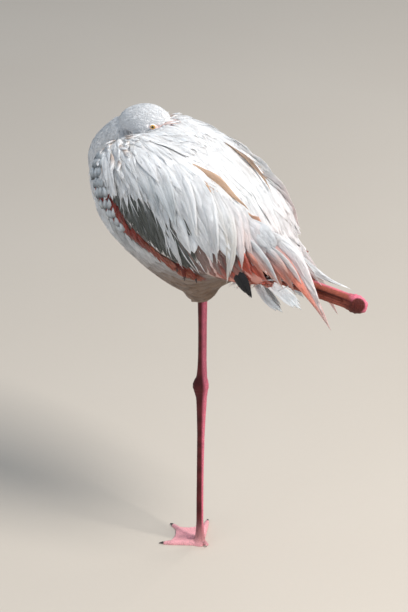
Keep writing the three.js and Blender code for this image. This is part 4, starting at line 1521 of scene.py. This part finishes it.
def feather_mantle(coat, sleeve, material):
    """Long smooth feathers from the shoulders to the rump, and a sleeve of them round the bill."""
    flock = Flock()

    def back(spots):
        x, y, z = spots.body
        upper = (spots.normals[:, 2] > 0.05) | (x < -80)
        inner = y < np.where(x < 0, np.interp(x, CREASE_X, CREASE_Y) - 10, 84)
        body = (spots.kind == "trunk") | (spots.kind == "wing")
        return body & upper & inner & (z > 560) & (x < 98) & ~on_bill(x, y, z)

    roots, ways = scattered(coat, 13.0, back, 0.03)
    count = len(roots)
    tint = shades(count, WHITE, 0.01)
    grow(flock, coat, roots, ways, draw.uniform(56, 70, count), draw.uniform(24, 30, count), tint, tint,
         stations=6, base=0.8, lift=1.0, droop=0.05, strands=0, section=LIGHT_VANE, broad=0.4, point=0.8)
    roots, ways = scattered(coat, 12.0, back, 0.025)
    count = len(roots)
    x, y, z = in_body(roots)
    lengths = np.interp(x, [-140, -60, 60, 110], [72, 122, 106, 54]) * draw.uniform(0.85, 1.15, count)
    tint = shades(count, WHITE, 0.010)
    overhang = rise(y - np.interp(x, CREASE_X, CREASE_Y), -26, -4) * (x < -10)
    pink = rise(-x, 70, 130) * rise(-z, -660, -600)
    # Painted shade: cream at the roots for the faint shade between the long feathers.
    grow(flock, coat, roots, ways, lengths, draw.uniform(20, 28, count), mix(tint, CREAM, 0.15),
         mix(tint, ROSE, 0.25 * pink), stations=10, base=2.0 + 2.6 * overhang, lift=2.4, hug=0.95,
         follow=0.24, curl=draw.normal(0, 0.04, count), roll=draw.normal(0, 0.015, count), droop=0.12,
         strands=5, broad=0.4, point=1.3, strand_width=0.09, fluff=0.02, splay=0.85, rise_power=1.0,
         tuck=0.6 - 0.5 * overhang)

    head = BVHTree.FromBMesh(scaled(welded("head", 1.0)))

    def round_bill(spots):
        x, y, z = spots.body
        near, normal = nearest(head, spots.places)
        clear = ((spots.places - near) * normal).sum(1) > 0
        return on_bill(x, y, z) & clear & (spots.normals[:, 2] > -0.3) & ~((y < 3) & (x > 62))

    roots, ways = scattered(sleeve, 8.0, round_bill, 0.06, one_way(-1.0, 0, 0.05))
    count = len(roots)
    tint = shades(count, WHITE, 0.012)
    sink = 1 - rise(in_body(roots)[0], 8, 48)
    # Painted shade: cream at the roots, as on the mantle.
    grow(flock, sleeve, roots, ways, draw.uniform(46, 64, count), draw.uniform(13, 18, count),
         mix(tint, CREAM, 0.15), tint, stations=8, base=0.8, lift=1.8 - 7.5 * sink, follow=0.1, droop=0.2,
         strands=6, broad=0.42, point=1.2, strand_width=0.10, fluff=0.05, splay=0.9, rise_power=1.6)
    tint = np.tile(GAPE, (3, 1))
    for side in (1, -1):
        roots = LEAN + np.array([[68, 16 * side, 789], [66, 17 * side, 788], [64, 15 * side, 790.0]])
        ways = np.tile(unit(np.array([-0.94, -0.22 * side, 0.26])), (3, 1))
        grow(flock, sleeve, roots, ways, np.array([34, 30, 36.0]), np.full(3, 2.0), tint, tint,
             stations=7, base=2.6, lift=0.8, follow=0, strands=0, section=LIGHT_VANE)
    flock.finish("mantle_feathers", material, "plumage")


# Where short feathers fill the crease: which side, the line, how far it spreads, the tips' tint, and how
# far they may stand off the body.
CREASE_BACK = [[-12, 58, 762], [-52, 55, 739], [-88, 51, 711], [-116, 42, 688]]
# Their tan is painted shade in the crease.
CREASE_LOCKS = [
    (1, CREASE_BACK, 6, SHADE_TAN, 0),
    (-1, CREASE_BACK, 6, SHADE_TAN, 0),
    (1, [[-98, 49, 702], [-122, 46, 680], [-146, 62, 664], [-170, 70, 636]], 6, mix(SHADE_TAN, SALMON, 0.6), 200),
]


def feather_crease(coat, material):
    """Short feathers in the crease between the mantle and each wing's plumes: tan with painted shade, turning
    rosy further back.
    """
    flock = Flock()

    def crease(spots):
        x, y, z = spots.body
        gap = np.abs(y - np.interp(x, CREASE_X, CREASE_Y) - 2)
        return (spots.kind != "head") & (spots.kind != "neck") & (gap < 14) & (x < -18) & (z > 590)

    roots, ways = scattered(coat, 7.5, crease, 0.12)
    count = len(roots)
    x, _, z = in_body(roots)
    # Painted shade: tan for the shadow in the crease.
    tint = mix(shades(count, SHADE_TAN, 0.04), shades(count, SALMON, 0.05), rise(-x, 90, 130) * 0.8)
    grow(flock, coat, roots, ways, draw.uniform(26, 36, count), draw.uniform(10, 13, count), tint, tint,
         stations=6, base=2.4, lift=2.6, droop=0.2, strands=5, section=LIGHT_VANE, fluff=0.2)
    for side, line, spread, tip_tint, loose in CREASE_LOCKS:
        add_lock(flock, coat, side, line, spread, 9, (SHADE_TAN, tip_tint), clearance=7.0, loose=loose)
    flock.finish("crease_feathers", material, "rose_plumage")


def add_bundle(flock, coat, line, across, half_widths, *, width, tints, feathers=9, depth=8.0, shortest=0.6,
               point=1.2, strands=12, broad=0.3, strand_width=0.12, reach=0.03, blunt=0.0):
    """Long feathers side by side and over each other, that taper together to the longest one's tip."""
    across = unit(np.array(across, float))
    shafts = []
    spots = np.linspace(0, 0.9, feathers) * np.where(np.arange(feathers) % 2, 1, -1)
    for i, spot in enumerate(spots):
        share = i / max(feathers - 1, 1)
        until = 1.0 - (1 - shortest) * share - blunt * draw.uniform(0, 0.04)
        place = LEAN + curve_through(line, 10, until)
        at = np.linspace(0, until, 10)
        room = np.interp(at, np.linspace(0, 1, len(half_widths)), half_widths)
        room = np.maximum(room - width * 0.5 * (1 - 0.7 * at), 0)
        way = unit(np.gradient(place, axis=0))
        side = unit(across - (way @ across)[:, None] * way)
        layer = depth * (0.5 - share) * (1 - 0.6 * at)
        shafts.append(place + side * (spot * room)[:, None] + np.cross(side, way) * layer[:, None])
    shafts = np.array(shafts)
    ways = unit(np.gradient(shafts, axis=1))
    ups = unit(np.cross(unit(across - (ways @ across)[..., None] * ways), ways))
    ups *= np.sign(ups[:, :, 1].mean() * line[0][1])
    root_tint, tip_tint, low_tint = tints
    low = np.clip(0.5 - spots * 0.9, 0, 1)
    root_tint = shades(feathers, mix(root_tint, low_tint, low * 0.5), 0.03)
    tip_tint = shades(feathers, mix(tip_tint, low_tint, low), 0.04)
    dress(flock, shafts, ups, width * draw.uniform(0.9, 1.1, feathers), root_tint, tip_tint,
          coat.patches(shafts[:, 0]), roll=draw.normal(0, 0.08, feathers), droop=0.2, thick=0.8,
          strands=strands, broad=broad, point=point, strand_width=strand_width, reach=reach, fluff=0.2)


# Each bundle's line, the way across it, its half-widths, and its tints at the root, the tip and the lower
# edge.
BUNDLES = {
    "tertials_left": (
        [[-146, 60, 660], [-196, 62, 629], [-236, 70, 584], [-275, 62, 514]],
        (-0.62, -0.42, 0.66), (22, 23, 17, 2),
        (WHITE, mix(WHITE, ROSE, 0.2), mix(SALMON, UNDER_RED, 0.25))),
    "tertials_right": (
        [[-126, -62, 600], [-162, -54, 566], [-203, -42, 540], [-242, -32, 494]],
        (-0.72, 0, 0.69), (24, 25, 18, 3),
        (WHITE, mix(WHITE, ROSE, 0.35), mix(SALMON, UNDER_RED, 0.3))),
    "inner_tertials_left": (
        [[-136, 36, 652], [-180, 40, 630], [-220, 44, 605], [-250, 50, 584]],
        (-0.42, 0.3, 0.86), (22, 22, 15, 3),
        (WHITE, WHITE, mix(WHITE, ROSE, 0.5))),
    "inner_tertials_right": (
        [[-126, -48, 604], [-172, -40, 576], [-226, -20, 562], [-284, 6, 565]],
        (0, 1, 0.25), (23, 23, 15, 3),
        (WHITE, WHITE, WHITE)),
}
# Feathers that hang from the left wing's rear end over the folded leg: their line, half-widths, width,
# count and tints.
FLANK_PLUMES = [
    ([[-116, 82, 634], [-146, 86, 612], [-170, 82, 582]], (14, 14, 6), 13, 8, (ROSE, SALMON, UNDER_RED)),
    ([[-104, 90, 646], [-128, 94, 620], [-146, 90, 592]], (16, 15, 8), 13, 8, (SALMON, UNDER_RED, UNDER_RED)),
    ([[-124, 78, 652], [-164, 86, 622], [-196, 82, 578]], (16, 14, 5), 11, 7, (WHITE, WHITE, ROSE)),
    ([[-136, 74, 640], [-174, 76, 612], [-190, 70, 574]], (18, 17, 7), 13, 9, (WHITE, ROSE, SALMON)),
    ([[-150, 76, 646], [-190, 78, 614], [-214, 70, 568]], (16, 14, 5), 11, 8, (WHITE, ROSE, SALMON)),
    ([[-166, 76, 646], [-208, 76, 612], [-234, 66, 564]], (14, 12, 4), 10, 7,
     (WHITE, mix(WHITE, ROSE, 0.4), SALMON)),
]
# The black flight feathers' line on the left side, and each tail blade's line and half-widths.
PRIMARY_LINE = [[-104, 90, 612], [-127, 94, 584], [-144, 90, 555]]
TAIL_BLADES = [
    ([[-100, 22, 585], [-122, 22, 550], [-140, 21, 527], [-167, 20, 502]], (10, 12, 13)),
    ([[-100, 6, 588], [-136, 8, 550], [-168, 8, 529], [-197, 8, 508]], (11, 13, 15)),
    ([[-100, -18, 584], [-128, -22, 562], [-158, -26, 536], [-182, -28, 512]], (11, 13, 14)),
]
# The loose down at the tail's root: its middle, and how far it reaches.
TAIL_DOWN = [-132, 34, 566]
TAIL_DOWN_REACH = 36


def feather_rear(coat, rose, flight, white):
    """The rump's plumes, the wings' long inner feathers, the black flight feathers and the tail."""
    flock = Flock()
    for line, half_widths, width, feathers, tints in FLANK_PLUMES:
        add_bundle(flock, coat, line, (-0.6, 0, 0.8), half_widths, width=width, feathers=feathers,
                   tints=tints, depth=6, shortest=0.72, point=1.5, strand_width=0.14, reach=0.08)

    def rump(spots):
        x, y, z = spots.body
        body = (spots.kind != "head") & (spots.kind != "neck")
        return body & (x < -84) & (z > 622) & (spots.normals[:, 0] < 0.3) & (y > 10) & (y < 84)

    roots, ways = scattered(coat, 9.0, rump, 0.06, one_way(-0.86, 0, -0.5))
    count = len(roots)
    tint = shades(count, WHITE, 0.015)
    _, y, z = in_body(roots)
    room = np.where(y > 56, np.maximum((z - 604) * 1.2, 24), 104)
    lengths = np.minimum(draw.uniform(70, 104, count), room)
    grow(flock, coat, roots, ways, lengths, draw.uniform(16, 22, count), tint,
         mix(tint, ROSE, 0.12), stations=8, base=6.0, lift=6.0, hug=0.25, follow=0.0,
         curl=draw.normal(0, 0.06, count), droop=0.2, strands=8, broad=0.4, point=1.6, strand_width=0.11,
         fluff=0.08)
    for line, spread, width, tip_tint in COVERS:
        add_lock(flock, coat, 1, line, spread, width, (WHITE, tip_tint), feathers=12, loose=200)
    flock.finish("rump_plumes", rose, "rose_plumage")
    for node, (line, across, half_widths, tints) in BUNDLES.items():
        flock = Flock()
        add_bundle(flock, coat, line, across, half_widths, width=22, tints=tints)
        flock.finish(f"{node}_vanes", rose, "rose_plumage", [node])
    for side, name in ((1, "left"), (-1, "right")):
        flock = Flock()
        line = [[x, side * y, z] for x, y, z in PRIMARY_LINE]
        add_bundle(flock, coat, line, (-0.8, 0, 0.6), (11, 11, 9), width=16, tints=(BLACK, BLACK, BLACK),
                   feathers=5, depth=3, point=0.7, strands=6, shortest=0.82, broad=0.4)
        flock.finish(f"primaries_{name}_vanes", flight, "flight_feathers", [f"primaries_{name}"])
    flock = Flock()
    for line, half_widths in TAIL_BLADES:
        add_bundle(flock, coat, line, (0.35, 0.93, 0), half_widths, width=13, feathers=5, depth=3,
                   shortest=0.9, tints=(mix(WHITE, ROSE, 0.2), SHADOW_GREY, SHADOW_GREY), point=0.5,
                   broad=0.5, blunt=1.0, strands=14)
    roots, normals = coat.scatter(
        lambda spots: np.linalg.norm(spots.places - LEAN - TAIL_DOWN, axis=1) < TAIL_DOWN_REACH, 6.5)
    count = len(roots)
    down = shades(count, WHITE, 0.03)
    ways = flatten(np.tile([0.2, 0.4, -0.85], (count, 1)), normals)
    grow(flock, coat, roots, ways, draw.uniform(20, 36, count), draw.uniform(1.6, 3.2, count),
         mix(down, SALMON, 0.3), down, stations=7, base=1.0, lift=12.0, hug=0.5,
         curl=draw.normal(0, 1.0, count), droop=0.3, strands=5, section=LIGHT_VANE, fluff=1.2, splay=2.6,
         point=1.3, follow=0)
    flock.finish("tail_vanes", white, "plumage", ["tail"])


def make_floor():
    floor = bmesh.new()
    bmesh.ops.create_grid(floor, x_segments=2, y_segments=2, size=12)
    mesh = bpy.data.meshes.new("floor")
    floor.to_mesh(mesh)
    floor.free()
    piece = bpy.data.objects.new("floor", mesh)
    finish = Finish("pale floor")
    grain = finish.noise(90, 5)
    drift = finish.noise(1.3, 3)
    colour = finish.blend(drift, linear(196, 186, 173), linear(204, 195, 183))
    finish.to_shader(Base_Color=colour, Roughness=finish.span(grain, 0.3, 0.7, 0.8, 0.92),
                     Normal=finish.bump(grain, 0.0006, 0.4))
    mesh.materials.append(finish.material)
    bpy.context.scene.collection.objects.link(piece)


make_camera()
make_studio()
make_floor()
outer, faces, links, gaps = make_body_surface()
inner = inset_body(outer, faces, links, gaps)
make_skin(inner, faces)
coat = Coat(inner, faces, np.array([name.split("_")[0] for name in PLUMED])[gaps.argmin(1)])
sleeve = Coat(*make_sleeve(), under=coat)
white_feathers = feather_finish("white feathers")
rose_feathers = feather_finish("rose feathers")
dark_feathers = feather_finish("black flight feathers", roughness=0.5, sheen=0.1, glow=0.0)
feather_head(coat, white_feathers)
feather_under(coat, white_feathers)
feather_wing(coat, white_feathers, 1)
feather_wing(coat, white_feathers, -1)
feather_shoulder(coat, white_feathers)
feather_crimson(coat, rose_feathers)
feather_crease(coat, rose_feathers)
feather_mantle(coat, sleeve, white_feathers)
feather_rear(coat, rose_feathers, dark_feathers, white_feathers)
wet_eye = eye_finish()
for eye in EYES:
    make_eye(eye, wet_eye)
bill_horn = horn_finish("bill horn", 0.34)
for part in ("bill_upper", "bill_lower"):
    make_horn(part, bill_horn, "bill", 0.9, 4, horn_tint)
claw_horn = horn_finish("claw horn", 0.26)
for node in sorted(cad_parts):
    if node.startswith("claw"):
        make_horn(node, claw_horn, "claw", 0.35, 3, claw_tint)
